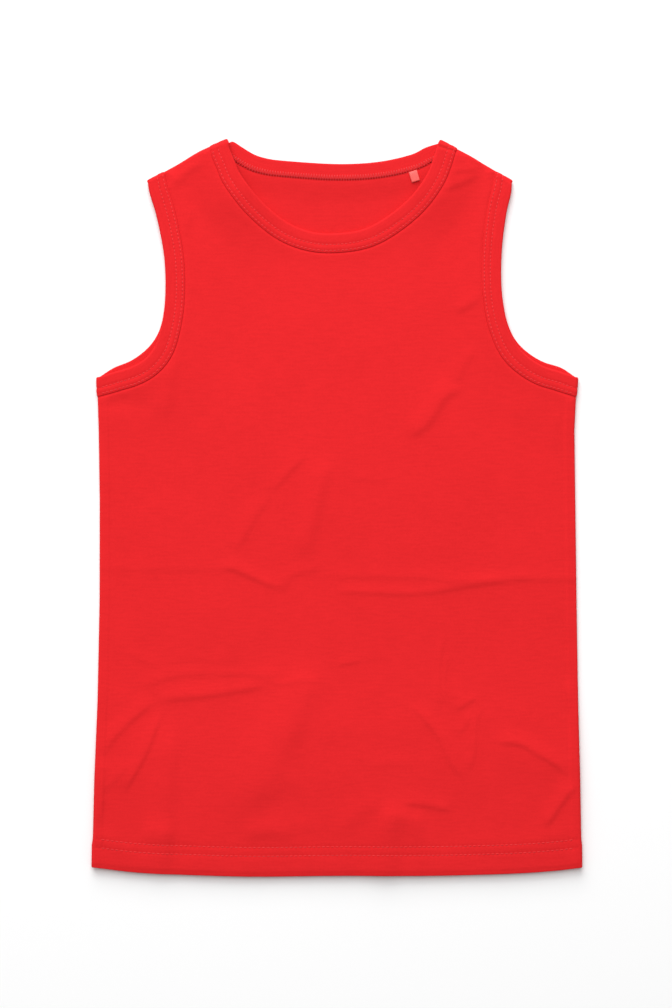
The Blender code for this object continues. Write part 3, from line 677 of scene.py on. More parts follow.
# %% Height of each panel
ALLOWANCE_WIDTH = 7.6  # of the seam allowance inside the side seams
ALLOWANCE_EDGE = 1.6
ALLOWANCE_RISE = 0.4
SHOULDER_GROOVE = 0.4
SHOULDER_GROOVE_WIDTH = 0.9
HEM_DROP = 0.5  # how far the front comes down over its last few millimetres
HEM_DROP_WIDTH = 4.0
CREASE_FREE = 6.0  # from where a binding or a fold holds the cloth to where a crease stands freely
RIGHT_SHOULDER_SEAM = points_at((70.5, 252.0), (83.0, 248.1), (104.5, 239.6), (122, 226.5))
BROAD_BUMP, FINE_BUMP = 60, 20  # how long the bumps are
FRONT_BUMPS, BACK_BUMPS = (0.26, 0.09), (0.25, 0.08)  # heights of the broad and the fine ones
SEEDS = {"front": 3.0, "front_again": 11.0, "back": 23.0}
FINE_SEED = 7
HEM_BUMPS = 1.8  # how much higher they get towards the hem
HEM_BUMPS_FROM, HEM_BUMPS_FADE = -90, 70
ALLOWANCE_WAVES = (23, 61)
ALLOWANCE_WAVER = 0.15  # share of the rise that comes and goes
BLEND_POWER = 4
SECOND_BUMPS = 0.8  # those of the second noise, as a share of the first


def crease_height(creases, points):
    total = np.zeros(len(points))
    for crease in creases:
        line = smooth_curve(crease.points, 10)
        reach = 3 * max(crease.steep, crease.gentle)
        near = ((points > line.min(0) - reach) & (points < line.max(0) + reach)).all(axis=1)
        if not near.any():
            continue
        away, share = nearest_on(line, points[near])
        ends = ease(share / CREASE_FADE) * ease((1 - share) / CREASE_FADE)
        from_crest = away - CREST_BACK * crease.steep
        width = np.where(from_crest < 0, crease.steep, crease.gentle)
        total[near] += crease.rise * ends * np.exp(-((from_crest / width) ** 2))
    return total


def unevenness(points, seed, broad, fine):
    """Soft bumps of two sizes, higher towards the hem."""
    bumps = [
        broad * noise.noise(Vector((x / BROAD_BUMP, y / BROAD_BUMP, seed)))
        + fine * noise.noise(Vector((x / FINE_BUMP, y / FINE_BUMP, seed + FINE_SEED)))
        for x, y in points
    ]
    lower = ease((HEM_BUMPS_FROM - points[:, 1]) / HEM_BUMPS_FADE)
    return np.array(bumps) * (1 + HEM_BUMPS * lower)


def level(away, seat, fade):
    """1 within a seat, easing to 0 over the fade."""
    return 1 - ease((np.abs(away) - seat) / fade)


def side_allowance(points):
    """The rise over the seam allowances, which is uneven along the side."""
    y = points[:, 1]
    left, right = points[:, 0] - side_x(y, "left"), side_x(y, "right") - points[:, 0]
    waver = np.sin(y / ALLOWANCE_WAVES[0]) * np.sin(y / ALLOWANCE_WAVES[1] + 1)
    return ALLOWANCE_RISE * (1 - ALLOWANCE_WAVER + ALLOWANCE_WAVER * waver) * level(
        np.minimum(left, right), ALLOWANCE_WIDTH - ALLOWANCE_EDGE, ALLOWANCE_EDGE
    )


def front_height(points):
    """Height of the middle of the front's sheet over the table."""
    flat = FRONT_FLAT + unevenness(points, SEEDS["front"], *FRONT_BUMPS)
    to_neck, share = nearest_on(FRONT_EDGES["neck"].raw, points)
    neck = FRONT_EDGES["neck"].raw
    neck_x, neck_y = [np.interp(share, np.linspace(0, 1, len(neck)), column) for column in neck.T]
    rise = ease((neck_y - NECK_RISE[0]) / (NECK_RISE[1] - NECK_RISE[0]))
    tip = FRONT_IN_BINDING + np.where(neck_x < 0, NECK_TIP_RISE["left"], NECK_TIP_RISE["right"])
    neck_target = FRONT_AT_NECK + (tip - FRONT_AT_NECK) * rise
    to_hem = points[:, 1] - hem_y(points[:, 0])
    raised = [
        (neck_target.clip(None, FRONT_IN_BINDING), level(to_neck, BINDING_SEAT, FRONT_FADE)),
        (neck_target, level(to_neck, BINDING_SEAT, NECK_TIP_FADE)),
    ]
    held = [level(to_neck, BINDING_SEAT, CREASE_FREE)]
    for side in ("left", "right"):
        to_arm, _ = nearest_on(FRONT_EDGES[side].raw, points)
        to_shoulder, _ = nearest_on(SHOULDER[side], points)
        raised.append((FRONT_IN_BINDING, level(to_arm, BINDING_SEAT, FRONT_FADE)))
        raised.append((FRONT_IN_BINDING, level(to_shoulder, SHOULDER_SEAT, FRONT_FADE)))
        held += [level(to_arm, BINDING_SEAT, CREASE_FREE), level(to_shoulder, 0, CREASE_FREE)]
    raised.append((FRONT_AT_HEM, level(to_hem.clip(0), HEM_SEAT, HEM_FADE)))
    blend = sum((np.clip(target - flat, 0, None) * share) ** BLEND_POWER for target, share in raised)
    seam, _ = nearest_on(smooth_curve(RIGHT_SHOULDER_SEAM), points)
    groove = SHOULDER_GROOVE * np.exp(-((seam / SHOULDER_GROOVE_WIDTH) ** 2))
    groove += HEM_DROP * (1 - ease(to_hem / HEM_DROP_WIDTH))
    creases = (crease_height(FRONT_CREASES, points) + side_allowance(points)) * (1 - np.max(held, 0))
    bumps = SECOND_BUMPS * unevenness(points, SEEDS["front_again"], *FRONT_BUMPS)
    return flat + blend ** (1 / BLEND_POWER) + creases - groove + bumps


def back_height(points):
    """The same for the back, which lies on the table but for its bindings and a few creases."""
    to_edges = [np.abs(nearest_on(edge.raw, points)[0]) for edge in BACK_EDGES.values()]
    to_shoulders = [np.abs(nearest_on(line, points)[0]) for line in SHOULDER.values()]
    flat = BACK_FLAT + crease_height(BACK_CREASES, points).clip(0)
    flat += unevenness(points, SEEDS["back"], *BACK_BUMPS).clip(0)
    bound = level(np.min(to_edges, axis=0), BINDING_SEAT, BACK_FADE)
    shoulder = level(np.min(to_shoulders, axis=0), SHOULDER_SEAT, BACK_FADE)
    return flat + (BACK_IN_BINDING - flat) * np.maximum(bound, shoulder)


middle = np.array([[0.0, 0.0]])
print("front over back in the middle:", (front_height(middle) - back_height(middle)).round(2))

# %% [markdown]
# ## From points to a piece
#
# `Cloth` gathers the points of a sheet, the place that each had on the flat cut, and the faces.
# `make_piece` turns it into an object: Solidify gives the sheet its thickness, the places become
# the UV map, and the piece is tied to the frame.


# %% Sheets of cloth
class Cloth:
    """Points in millimetres, their places on the flat cut, and faces."""

    def __init__(self):
        self.points, self.places, self.faces = [], [], []
        self.wall_shares = None  # of the full thickness, where a sheet gets thinner

    def add(self, points, places):
        """Adds rows of points and returns their numbers."""
        first = len(self.points)
        self.points += [tuple(p) for p in np.asarray(points, float)]
        self.places += [tuple(p) for p in np.asarray(places, float)]
        return list(range(first, len(self.points)))

    def grid(self, rows, closed=False):
        """Four-sided faces between rows of point numbers."""
        pairs = list(zip(rows, rows[1:]))
        if closed:
            pairs.append((rows[-1], rows[0]))
        for a, b in pairs:
            self.faces += list(zip(a, a[1:], b[1:], b))


def make_piece(name, cloth, material, node=None, wall=WALL):
    """The object for a cloth, riding on the frame; wall is its thickness, or None if it is solid."""
    mesh = bpy.data.meshes.new(name)
    mesh.from_pydata([Vector(p) * MM for p in cloth.points], [], cloth.faces)
    body = bmesh.new()
    body.from_mesh(mesh)
    bmesh.ops.recalc_face_normals(body, faces=body.faces)
    body.to_mesh(mesh)
    body.free()
    corners = np.zeros(len(mesh.loops), int)
    mesh.loops.foreach_get("vertex_index", corners)
    cut = mesh.uv_layers.new(name="cut")
    cut.uv.foreach_set("vector", (np.array(cloth.places)[corners] * MM).astype(np.float32).ravel())
    mesh.shade_smooth()
    mesh.materials.append(material)
    piece = bpy.data.objects.new(name, mesh)
    bpy.context.scene.collection.objects.link(piece)
    if wall:
        thick = piece.modifiers.new("Wall", "SOLIDIFY")
        thick.thickness = wall * MM
        thick.offset = 0
    if cloth.wall_shares is not None:
        group = piece.vertex_groups.new(name="wall")
        for number, share in enumerate(cloth.wall_shares):
            group.add([number], share, "REPLACE")
        thick.vertex_group = "wall"
    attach(piece, "root")
    if node:
        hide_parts(node)
    print(f"{name}: {len(mesh.vertices)} points, {len(mesh.polygons)} faces")
    return piece


# %% [markdown]
# ## Points of a panel
#
# The flat part of a panel is triangulated between its edges. An even net of points would be too
# coarse for a crease or a row of needle holes, or too heavy everywhere else. So fine rows of
# points are laid beside those lines first, and the even net fills what they leave.

# %% Nets of points
NET = 2.8
NET_CLEAR = 0.62 * NET  # that the even net stays off the finer rows
ROW_STEP = 1.4
SHARP = 4  # a crease whose steep side is narrower gets rows of its own
CREASE_ROWS = (-1.3, -0.8, -0.4, 0.0, 0.4, 0.8, 1.3, 1.9)  # in widths of the steep side
STITCH_ROWS = (-1.6, -0.8, 0.0, 0.8, 1.6)
SEAM_ROWS = (-1.4, -0.7, 0.0, 0.7, 1.4)
SEWN_ROWS = (-1.2, -0.6, 0.0, 0.7, 1.5)
SEWN_MIDDLE = 0.9  # from a binding's sewn edge to the middle one of those rows
ALLOWANCE_ROWS = (-1.5, -0.9, -0.3, 0.3, 0.9, 1.5)
HEM_DROP_ROWS = (1.0, 2.0, 3.0, 4.2)
HEM_STITCH_RISES = (13.9, 19.9)  # of the twin needles above the start of the hem's turn
STITCH = 3.2
NEEDLE_X, DROP_X = np.linspace(-168, 168, 241), np.linspace(-168, 168, 190)
ALLOWANCE_Y = np.linspace(-225, 74, 150)
STEP = {"needle": STITCH / 4, "seam": 0.8, "allowance": 2.0, "drop": 1.8}  # along the rows
CLEAR = {  # how near the points of a row may come to those already there
    "crease": 0.3,  # in widths of its steep side
    "sewn": 0.4, "needle": 0.5, "seam": 0.5, "allowance": 0.45, "drop": 0.6,
}


def beside(line, offsets, step):
    """Rows of points at these distances to the left of a line."""
    middle = spaced(line, step)
    left = turned(unit(np.gradient(middle, axis=0)))
    return np.vstack([middle + offset * left for offset in offsets])


def even_net(low, high, spacing):
    rows = []
    for number, y in enumerate(np.arange(low[1], high[1], spacing * math.sqrt(3) / 2)):
        x = np.arange(low[0] + (number % 2) * spacing / 2, high[0], spacing)
        rows.append(np.stack([x, np.full(len(x), y)], axis=1))
    return np.vstack(rows)


def is_inside(points, border):
    """Whether a line from each point towards +X crosses the border an odd number of times."""
    a, b = border, np.roll(border, -1, axis=0)
    answers = []
    for few in np.array_split(points, len(points) // 4000 + 1):
        x, y = few[:, :1], few[:, 1:]
        spans = (a[:, 1] > y) != (b[:, 1] > y)
        climb = np.where(b[:, 1] == a[:, 1], 1, b[:, 1] - a[:, 1])
        crossing = a[:, 0] + (y - a[:, 1]) * (b[:, 0] - a[:, 0]) / climb
        answers.append((spans & (x < crossing)).sum(axis=1) % 2 == 1)
    return np.concatenate(answers)


def clear_of(points, kept, distance):
    """Those points that are at least this far from the kept ones."""
    tree = kdtree.KDTree(len(kept))
    for number, (x, y) in enumerate(kept):
        tree.insert((x, y, 0), number)
    tree.balance()
    far = [tree.find((x, y, 0))[2] >= distance for x, y in points]
    return points[np.array(far)]


def net_of(border, rows):
    """The border, then fine rows of points, then an even net in what is left."""
    kept = np.array(border)
    for row, distance in [*rows, (even_net(kept.min(0), kept.max(0), NET), NET_CLEAR)]:
        kept = np.vstack([kept, clear_of(row[is_inside(row, np.array(border))], kept, distance)])
    return kept


def rows_for(creases, edges, leg, with_details):
    """Fine rows for the creases and sewn edges and, in front, for the stitches and seams."""
    fine = []
    for crease in creases:
        if crease.steep < SHARP:
            offsets = crease.steep * np.array(CREASE_ROWS)
            row = beside(smooth_curve(crease.points, 10), offsets, ROW_STEP)
            fine.append((row, CLEAR["crease"] * crease.steep))
    for edge in edges.values():
        sewn = edge.raw + edge.into * (leg + SEWN_MIDDLE)
        fine.append((beside(sewn, SEWN_ROWS, ROW_STEP), CLEAR["sewn"]))
    if not with_details:
        return fine
    lines = [("needle", over_hem(NEEDLE_X, rise), STITCH_ROWS) for rise in HEM_STITCH_RISES]
    lines.append(("seam", smooth_curve(RIGHT_SHOULDER_SEAM), SEAM_ROWS))
    for side, inward in INWARD.items():
        x = side_x(ALLOWANCE_Y, side) + inward * (ALLOWANCE_WIDTH - ALLOWANCE_EDGE / 2)
        lines.append(("allowance", np.stack([x, ALLOWANCE_Y], axis=1), ALLOWANCE_ROWS))
    lines.append(("drop", over_hem(DROP_X, 0), HEM_DROP_ROWS))
    return [(beside(line, offsets, STEP[kind]), CLEAR[kind]) for kind, line, offsets in lines] + fine


print("needle rows", HEM_STITCH_RISES, "mm above the hem")

# %% [markdown]
# ## Needle holes
#
# Each stitch draws the cloth in where the needle went through. These small dents are what one
# sees of the twin rows from a step away: two dotted lines. Beside the sewn edge of a binding the
# cloth swells a little instead, so the edge itself shows as no more than a thin line.

# %% Dents of the stitches
DENT = 0.22
DENT_RADIUS = 0.85
PULL = 0.08  # how far a row is drawn in all along
SWELL = {"front": 0.3, "back": 0.25}  # how far the cloth stands up beside a binding's sewn edge
SWELL_AWAY = 1.6  # from that edge to the top of the swell
SWELL_NEAR, SWELL_FAR = 1.0, 4.5  # its widths on the two sides


def dents(along, across, pitch=STITCH):
    """How far the cloth is drawn in, at a place along a row and this far beside it."""
    from_hole = np.mod(along, pitch) - pitch / 2
    hole = DENT * np.exp(-((from_hole**2 + across**2) / DENT_RADIUS**2))
    return hole + PULL * np.exp(-((across / DENT_RADIUS) ** 2))


def seam_swell(points, edges, leg):
    """From 0 to 1, how far the cloth swells beside the sewn edges of its bindings."""
    to_edge = np.min([np.abs(nearest_on(edge.raw, points)[0]) for edge in edges.values()], axis=0)
    away = to_edge - leg - SWELL_AWAY
    return np.exp(-((away / np.where(away < 0, SWELL_NEAR, SWELL_FAR)) ** 2))


def front_dents(points):
    """The needle holes of the hem, less the swell beside the bindings."""
    to_hem = points[:, 1] - hem_y(points[:, 0])
    hem = sum(dents(points[:, 0], to_hem - rise) for rise in HEM_STITCH_RISES)
    return hem - SWELL["front"] * seam_swell(points, FRONT_EDGES, LEG_OUTSIDE)


def back_dents(points):
    """The back is seen from within, where its swell stands towards the front."""
    return SWELL["back"] * seam_swell(points, BACK_EDGES, LEG_INSIDE)


print("deepest dent:", DENT + PULL, "mm")

# %% [markdown]
# ## Front and back
#
# A panel is its flat part, two sides and two shoulders that roll towards the other panel, and
# the hem. The hem's turn follows the lower edge, from one side's roll through to the other's, and
# the cloth then runs back up inside at one layer's distance.

# %% Panels
ROLL_ANGLES = (78, 64, 50, 36, 24, 12, 0)  # degrees above the table, from the flat part outwards
HEM_RISE = 2.15
HEM_ROWS = 10
HEM_ARC_STEPS = 8
HEM_BORDER_STEP = 2.2
EDGE_SKIP = 3  # a panel's border takes every third station of an edge
FIRST_ROLL = 2.0  # a first guess at the width of a side's roll
FREE_EDGE = 0.12  # from the middle of a fold to the free edge of each sheet in it


def side_line(side):
    """The line where a side starts to roll, from the hem up to the underarm."""
    bottom = float(hem_y(side_start(HEM_EDGE[0].y, side, FIRST_ROLL)[0]))
    y = np.arange(bottom, SEAT_Y, HEM_RISE)
    roll = np.full(len(y), FIRST_ROLL)
    for _ in range(4):  # the roll's width depends on the height of the cloth at its start
        line = side_start(y, side, roll)
        roll = (front_height(line) - back_height(line)) / 2 - FOLD_STRAIGHT
    seat = side_start(SEAT_Y, side, BINDING_ROLL)
    return np.vstack([side_start(y, side, roll), spaced(np.array([seat, UNDERARM[side]]), HEM_RISE)])


SIDE_LINES = {side: side_line(side) for side in ("left", "right")}


class Panel(Cloth):
    def __init__(self, edges, height, sign, dented):
        """sign is 1 for the front, which rolls down, and -1 for the back, which rolls up."""
        super().__init__()
        self.edges, self.height, self.sign, self.dented = edges, height, sign, dented
        self.runs = {}

    def border(self):
        """The border of the flat part, clockwise from the lower left, in named runs."""
        left, right = SIDE_LINES["left"], SIDE_LINES["right"]
        tops = {side: spaced(line, ROW_STEP) for side, line in SHOULDER.items()}
        raw = {k: edge.raw[EDGE_SKIP:-EDGE_SKIP:EDGE_SKIP] for k, edge in self.edges.items()}
        ends = left[0][0], right[0][0]
        x = np.linspace(*ends, round((ends[1] - ends[0]) / HEM_BORDER_STEP))[1:-1]
        walk = (
            ("left_side", left),
            ("left_arm", raw["left"]),
            ("left_shoulder", tops["left"]),
            ("neck", raw["neck"]),
            ("right_shoulder", tops["right"][::-1]),
            ("right_arm", raw["right"][::-1]),
            ("right_side", right[::-1]),
            ("hem", over_hem(x, 0)[::-1]),
        )
        border = []
        for name, stretch in walk:
            self.runs[name] = list(range(len(border), len(border) + len(stretch)))
            border.extend(stretch)
        for name in ("right_shoulder", "right_side", "hem"):
            self.runs[name].reverse()
        return border

    def lay_flat(self, rows):
        border = self.border()
        net = net_of(border, rows)
        found = geometry.delaunay_2d_cdt(
            [Vector(p) for p in net], [], [list(range(len(border)))], 1, 1e-5
        )
        places = np.array([tuple(v) for v in found[0]])
        height = self.height(places) - self.sign * self.dented(places)
        self.add(np.column_stack([places, height]), places)
        self.faces += [tuple(face) for face in found[2]]

    def roll(self, run, side):
        """Rolls the sheet towards the other panel along a run, and returns the rows of points."""
        line = np.array([self.points[i][:2] for i in run])
        outward = side * turned(unit(np.gradient(line, axis=0)))
        front, back = front_height(line), back_height(line)
        radius, middle = (front - back) / 2 - FOLD_STRAIGHT, (front + back) / 2
        rows, facing = [list(run)], [np.column_stack([0 * line, np.full(len(line), self.sign)])]
        for angle in (*ROLL_ANGLES, None):
            turn = math.radians(angle or 0)
            reach = radius * math.cos(turn)
            z = middle + self.sign * (radius * math.sin(turn) + FOLD_STRAIGHT)
            if angle is None:  # the free edge, just short of the other panel's
                z = middle + self.sign * FREE_EDGE
            places = line + outward * (radius * (math.pi / 2 - turn))[:, None]
            rows.append(self.add(np.column_stack([line + outward * reach[:, None], z]), places))
            up = np.full(len(line), self.sign * math.sin(turn))
            facing.append(np.column_stack([outward * math.cos(turn), up]))
        self.grid(rows)
        return rows, facing

    def turn_up_hem(self, left, right):
        """Turns the lower edge in and runs the cloth back up, one layer inside."""
        start = [self.column(*left, k) for k in range(len(left[0]))][::-1]
        x = np.array([self.points[i][0] for i in self.runs["hem"]])
        flat = []
        for i in range(HEM_ROWS + 1):
            places = over_hem(x, i * HEM_RISE)
            flat.append(np.column_stack([places, self.height(places)]))
        up = np.tile((0, 0, self.sign), (len(x), 1))
        middle = [(np.array(row), up) for row in flat]
        end = [self.column(*right, k) for k in range(len(right[0]))]
        levels = []
        for i in range(HEM_ROWS + 1):
            points = np.vstack([[c[0][i] for c in start], middle[i][0], [c[0][i] for c in end]])
            facing = np.vstack([[c[1][i] for c in start], middle[i][1], [c[1][i] for c in end]])
            levels.append((points, facing))
        edge = [row[0] for row in left[0][::-1]]
        edge += self.runs["hem"] + [row[0] for row in right[0]]
        outer, facing = levels[0]
        rows = [edge]
        down = np.array((0, 1, 0)) * LAYER / 2
        for step in range(1, HEM_ARC_STEPS + 1):
            turn = math.pi * step / HEM_ARC_STEPS
            ring = outer - down * math.sin(turn) - facing * LAYER / 2 * (1 - math.cos(turn))
            places = outer[:, :2] - (0, 1) * np.full((len(outer), 1), LAYER / 2 * turn)
            rows.append(self.add(ring, places))
        for i, (points, facing) in enumerate(levels[1:], 1):
            places = outer[:, :2] - (0, math.pi * LAYER / 2 + i * HEM_RISE)
            rows.append(self.add(points - facing * LAYER, places))
        self.grid(rows)

    def column(self, rows, facing, k):
        """The lowest points of one row of a rolled side, and where the cloth faces there."""
        points = np.array([self.points[i] for i in rows[k][: HEM_ROWS + 1]])
        return points, facing[k][: HEM_ROWS + 1]


def make_panel(name, edges, height, sign, creases, dented, leg, material):
    panel = Panel(edges, height, sign, dented)
    panel.lay_flat(rows_for(creases, edges, leg, sign == 1))
    left = panel.roll(panel.runs["left_side"], 1)
    right = panel.roll(panel.runs["right_side"], -1)
    panel.roll(panel.runs["left_shoulder"], 1)
    panel.roll(panel.runs["right_shoulder"], -1)
    panel.turn_up_hem(left, right)
    return make_piece(name.replace("panel", "cloth"), panel, material, name)


front_cloth = make_panel(
    "front_panel", FRONT_EDGES, front_height, 1, FRONT_CREASES, front_dents, LEG_OUTSIDE, FRONT_JERSEY
)
back_cloth = make_panel(
    "back_panel", BACK_EDGES, back_height, -1, BACK_CREASES, back_dents, LEG_INSIDE, BACK_JERSEY
)

# %% [markdown]
# ## Bindings
#
# Each binding is a closed ring of sections. A section runs from the sewn edge over the raw edge
# of the panel and back along the inside. `stretch_on` gives the sections that stand on a panel and
# `stretch_round` those that go round a fold: for each, the place of the sheet in the middle and
# the direction that its outer side faces. The strip lies one layer to each side of it.
#
# What shows is not flat. The strip is drawn in along the twin needles, swells between them and
# the fold, and has fine rungs between the rows, where the thread inside pulls from row to row.

# %% Binding sections
NEAR_ROW, FAR_ROW = 1.7, 5.9  # of the twin needles, from the sewn edge
RUNG = 1.8
BAND_ARC_STEPS = 8
BAND_STITCH = 2.7
LEG_DEPTHS = np.linspace(LEG_OUTSIDE, 0, 24)
INSIDE_DEPTHS = np.linspace(0, LEG_INSIDE, 11)[1:]
ARC_TURNS = np.linspace(0, math.pi, BAND_ARC_STEPS + 1)[1:]
DEPTHS = np.concatenate([LEG_DEPTHS, -LAYER * np.sin(ARC_TURNS), INSIDE_DEPTHS])
FOLD_ANGLES = (78, 60, 42, 24, 8)
PUFF_BEYOND, PUFF_BETWEEN = 0.14, 0.10  # how far the strip swells beyond its rows and between them
PUFF_POWER = 0.7
RUNG_HEIGHT = 0.07
BAND_DENTS = 0.8  # how deep its needle holes are, as a share of the hem's
EDGE_DROP = 0.3  # how far a leg's edge bends down
EDGE_ROUND = 0.6  # length over which it bends
EDGE_THIN = 0.6  # share of the wall that its rounded edge loses


def stretch_on(edge, height, sign):
    """Middles and facings of the sections along one stretch of raw edge."""
    depth = np.broadcast_to(DEPTHS, (len(edge.raw), len(DEPTHS)))[..., None]
    places = edge.raw[:, None] + edge.into[:, None] * depth
    under = edge.raw[:, None] + edge.into[:, None] * depth.clip(0)
    z = height(under.reshape(-1, 2)).reshape(depth.shape)
    facing = np.zeros((*depth.shape[:2], 3))
    facing[..., 2] = sign
    return np.concatenate([places, z], axis=-1), facing


def stretch_round(start, along, side, first_sign):
    """The same round a fold, from the panel of first_sign to the other."""
    outward = np.append(side * turned(along), 0)
    front, back = float(front_height(start[None])[0]), float(back_height(start[None])[0])
    radius, middle = (front - back) / 2 - FOLD_STRAIGHT, (front + back) / 2
    rows, facings = [], []
    stops = [(angle, 1) for angle in FOLD_ANGLES] + [(-angle, -1) for angle in FOLD_ANGLES[::-1]]
    for angle, half in stops:
        turn = math.radians(first_sign * angle)
        facing = outward * math.cos(turn) + np.array((0, 0, math.sin(turn)))
        places = start + along * DEPTHS[:, None]
        z = np.full(len(DEPTHS), middle + first_sign * half * FOLD_STRAIGHT)
        rows.append(np.column_stack([places, z]) + radius * facing)
        facings.append(np.tile(facing, (len(DEPTHS), 1)))
    return np.array(rows), np.array(facings)


def swelling(along, depth):
    """How far the seen side of a binding stands off its even layer."""
    from_edge = LEG_OUTSIDE - depth
    between = np.clip((from_edge - NEAR_ROW) / (FAR_ROW - NEAR_ROW), 0, 1)
    beyond = np.clip((from_edge - FAR_ROW) / (BINDING_WIDTH - FAR_ROW), 0, 1)
    arch = np.sin(math.pi * between)
    puff = PUFF_BEYOND * np.sin(math.pi * beyond) ** PUFF_POWER + PUFF_BETWEEN * arch
    edge = EDGE_DROP * np.exp(-((from_edge / EDGE_ROUND) ** 2))
    rungs = RUNG_HEIGHT * arch * np.cos(2 * math.pi * along / RUNG)
    drawn_in = sum(dents(along, from_edge - row, BAND_STITCH) for row in (NEAR_ROW, FAR_ROW))
    return puff - edge + rungs - BAND_DENTS * drawn_in


class Band(Cloth):
    """A folded strip round an opening."""

    def __init__(self, stretches):
        super().__init__()
        self.middles = np.concatenate([s[0] for s in stretches])
        self.facings = np.concatenate([s[1] for s in stretches])
        half_way = self.middles[:, len(LEG_DEPTHS) // 2]
        closed = np.vstack([half_way, half_way[:1]])
        lengths = lengths_along(closed)
        self.length, self.along = lengths[-1], lengths[:-1]
        along, depth = np.meshgrid(self.along, DEPTHS, indexing="ij")
        off = np.concatenate([
            np.full(len(LEG_DEPTHS), LAYER),
            LAYER * np.cos(ARC_TURNS),
            EDGE_DROP * np.exp(-(((LEG_INSIDE - INSIDE_DEPTHS) / EDGE_ROUND) ** 2)) - LAYER,
        ])
        seen = np.zeros(len(DEPTHS))
        seen[: len(LEG_DEPTHS)] = 1
        self.off = off + seen * swelling(along, depth)
        surface = self.middles + self.facings * self.off[..., None]
        to_edge = np.concatenate([
            LEG_OUTSIDE - LEG_DEPTHS, np.full(len(ARC_TURNS), LEG_OUTSIDE), LEG_INSIDE - INSIDE_DEPTHS
        ])
        shares = 1 - EDGE_THIN * np.exp(-((to_edge / EDGE_ROUND) ** 2))
        self.wall_shares = np.tile(shares, len(surface)).tolist()
        widths = np.concatenate([[0], np.cumsum(np.abs(np.diff(DEPTHS)) + 0.1)])
        rows = [
            self.add(row, np.column_stack([np.full(len(DEPTHS), at), widths]))
            for row, at in zip(surface, self.along)
        ]
        self.grid(rows, closed=True)

    def line(self, depth, above, first=0.0, last=1.0):
        """A line along the binding at one depth, this far off the middle of the panel."""
        keep = (self.along >= first * self.length) & (self.along <= last * self.length)
        legs, facing = self.middles[keep, : len(LEG_DEPTHS)], self.facings[keep, 0]
        middle = [
            [np.interp(-depth, -LEG_DEPTHS, axis) for axis in section.T] for section in legs
        ]
        return np.array(middle) + facing * above, facing, self.along[keep]


def band_for_neck():
    return Band([
        stretch_on(FRONT_EDGES["neck"], front_height, 1),
        stretch_round(RIGHT_LINE[-1], NECK_ALONG["right"], 1, 1),
        [part[::-1] for part in stretch_on(BACK_EDGES["neck"], back_height, -1)],
        stretch_round(LEFT_LINE[-1], NECK_ALONG["left"], -1, -1),
    ])


def band_for_armhole(side):
    return Band([
        stretch_on(FRONT_EDGES[side], front_height, 1),
        stretch_round(SHOULDER[side][0], ARM_ALONG[side], INWARD[side], 1),
        [part[::-1] for part in stretch_on(BACK_EDGES[side], back_height, -1)],
        stretch_round(UNDERARM[side], SIDE_ALONG[side], -INWARD[side], -1),
    ])


BANDS = {
    "neck_binding": band_for_neck(),
    "armhole_binding_left": band_for_armhole("left"),
    "armhole_binding_right": band_for_armhole("right"),
}
band_pieces = {
    name: make_piece(name.replace("binding", "band"), band, BAND_JERSEY, name)
    for name, band in BANDS.items()
}

# %% [markdown]
# ## Stitches
#
# A stitch is a short length of thread that comes out of one needle hole and goes into the next.
# Each is a small tube, thickest in the middle and sunk at both ends. All the stitches of a seam
# are joined into one mesh, which is much lighter than an object for each.

# %% Tubes of thread
THREAD = 0.22  # radius
THREAD_SIDES = 6
STITCH_SHARES = np.linspace(0, 1, 6)
STITCH_GAP = 0.5
STITCH_SINK, STITCH_ARCH = 1.1, 1.5  # in radii: how deep its ends lie, and how far its middle rises
STITCH_TIP = 0.6  # radius of its ends, as a share of the thread's


def tube(cloth, middles, facings, radii):
    """A closed tube along a few points."""
    ahead = unit(np.gradient(middles, axis=0))
    across = unit(np.cross(ahead, facings))
    rows = []
    for point, side, up, radius in zip(middles, across, facings, radii):
        turns = np.linspace(0, 2 * math.pi, THREAD_SIDES, endpoint=False)[:, None]
        ring = point + radius * (np.cos(turns) * side + np.sin(turns) * up)
        numbers = cloth.add(ring, ring[:, :2])
        rows.append([*numbers, numbers[0]])
    cloth.grid(rows)
    cloth.faces += [tuple(rows[0][:-1]), tuple(rows[-1][:-1])]


def sew(cloth, middles, facings, along, pitch):
    """A row of stitches along a line that lies on the cloth."""
    arch = np.sin(math.pi * STITCH_SHARES)
    lift = THREAD * (STITCH_ARCH * arch - STITCH_SINK)[:, None]
    radii = THREAD * (STITCH_TIP + (1 - STITCH_TIP) * arch)
    first = math.ceil((along[0] - pitch / 2) / pitch)
    last = math.floor((along[-1] - pitch / 2) / pitch)
    for number in range(first, last):
        start = number * pitch + pitch / 2 + STITCH_GAP / 2
        at = start + STITCH_SHARES * (pitch - STITCH_GAP)
        line = np.stack([np.interp(at, along, column) for column in middles.T], axis=1)
        up = unit(np.stack([np.interp(at, along, column) for column in facings.T], axis=1))
        tube(cloth, line + up * lift, up, radii)


# %% Stitches of the bindings and the hem
HEM_SEAM_X = np.linspace(-167.5, 167.5, 400)


def sew_band(name, band):
    seam = Cloth()
    for row in (NEAR_ROW, FAR_ROW):
        depth = LEG_OUTSIDE - row
        sew(seam, *band.line(depth, LAYER + WALL / 2 - PULL), BAND_STITCH)
    return make_piece(name, seam, thread, wall=None)


def sew_hem():
    seam = Cloth()
    for height, sign in ((front_height, 1), (back_height, -1)):
        facing = np.tile((0.0, 0.0, sign), (len(HEM_SEAM_X), 1))
        for rise in HEM_STITCH_RISES:
            places = over_hem(HEM_SEAM_X, rise)
            z = height(places) + sign * (WALL / 2 - PULL)
            sew(seam, np.column_stack([places, z]), facing, HEM_SEAM_X, STITCH)
    return make_piece("hem_stitches", seam, thread, wall=None)


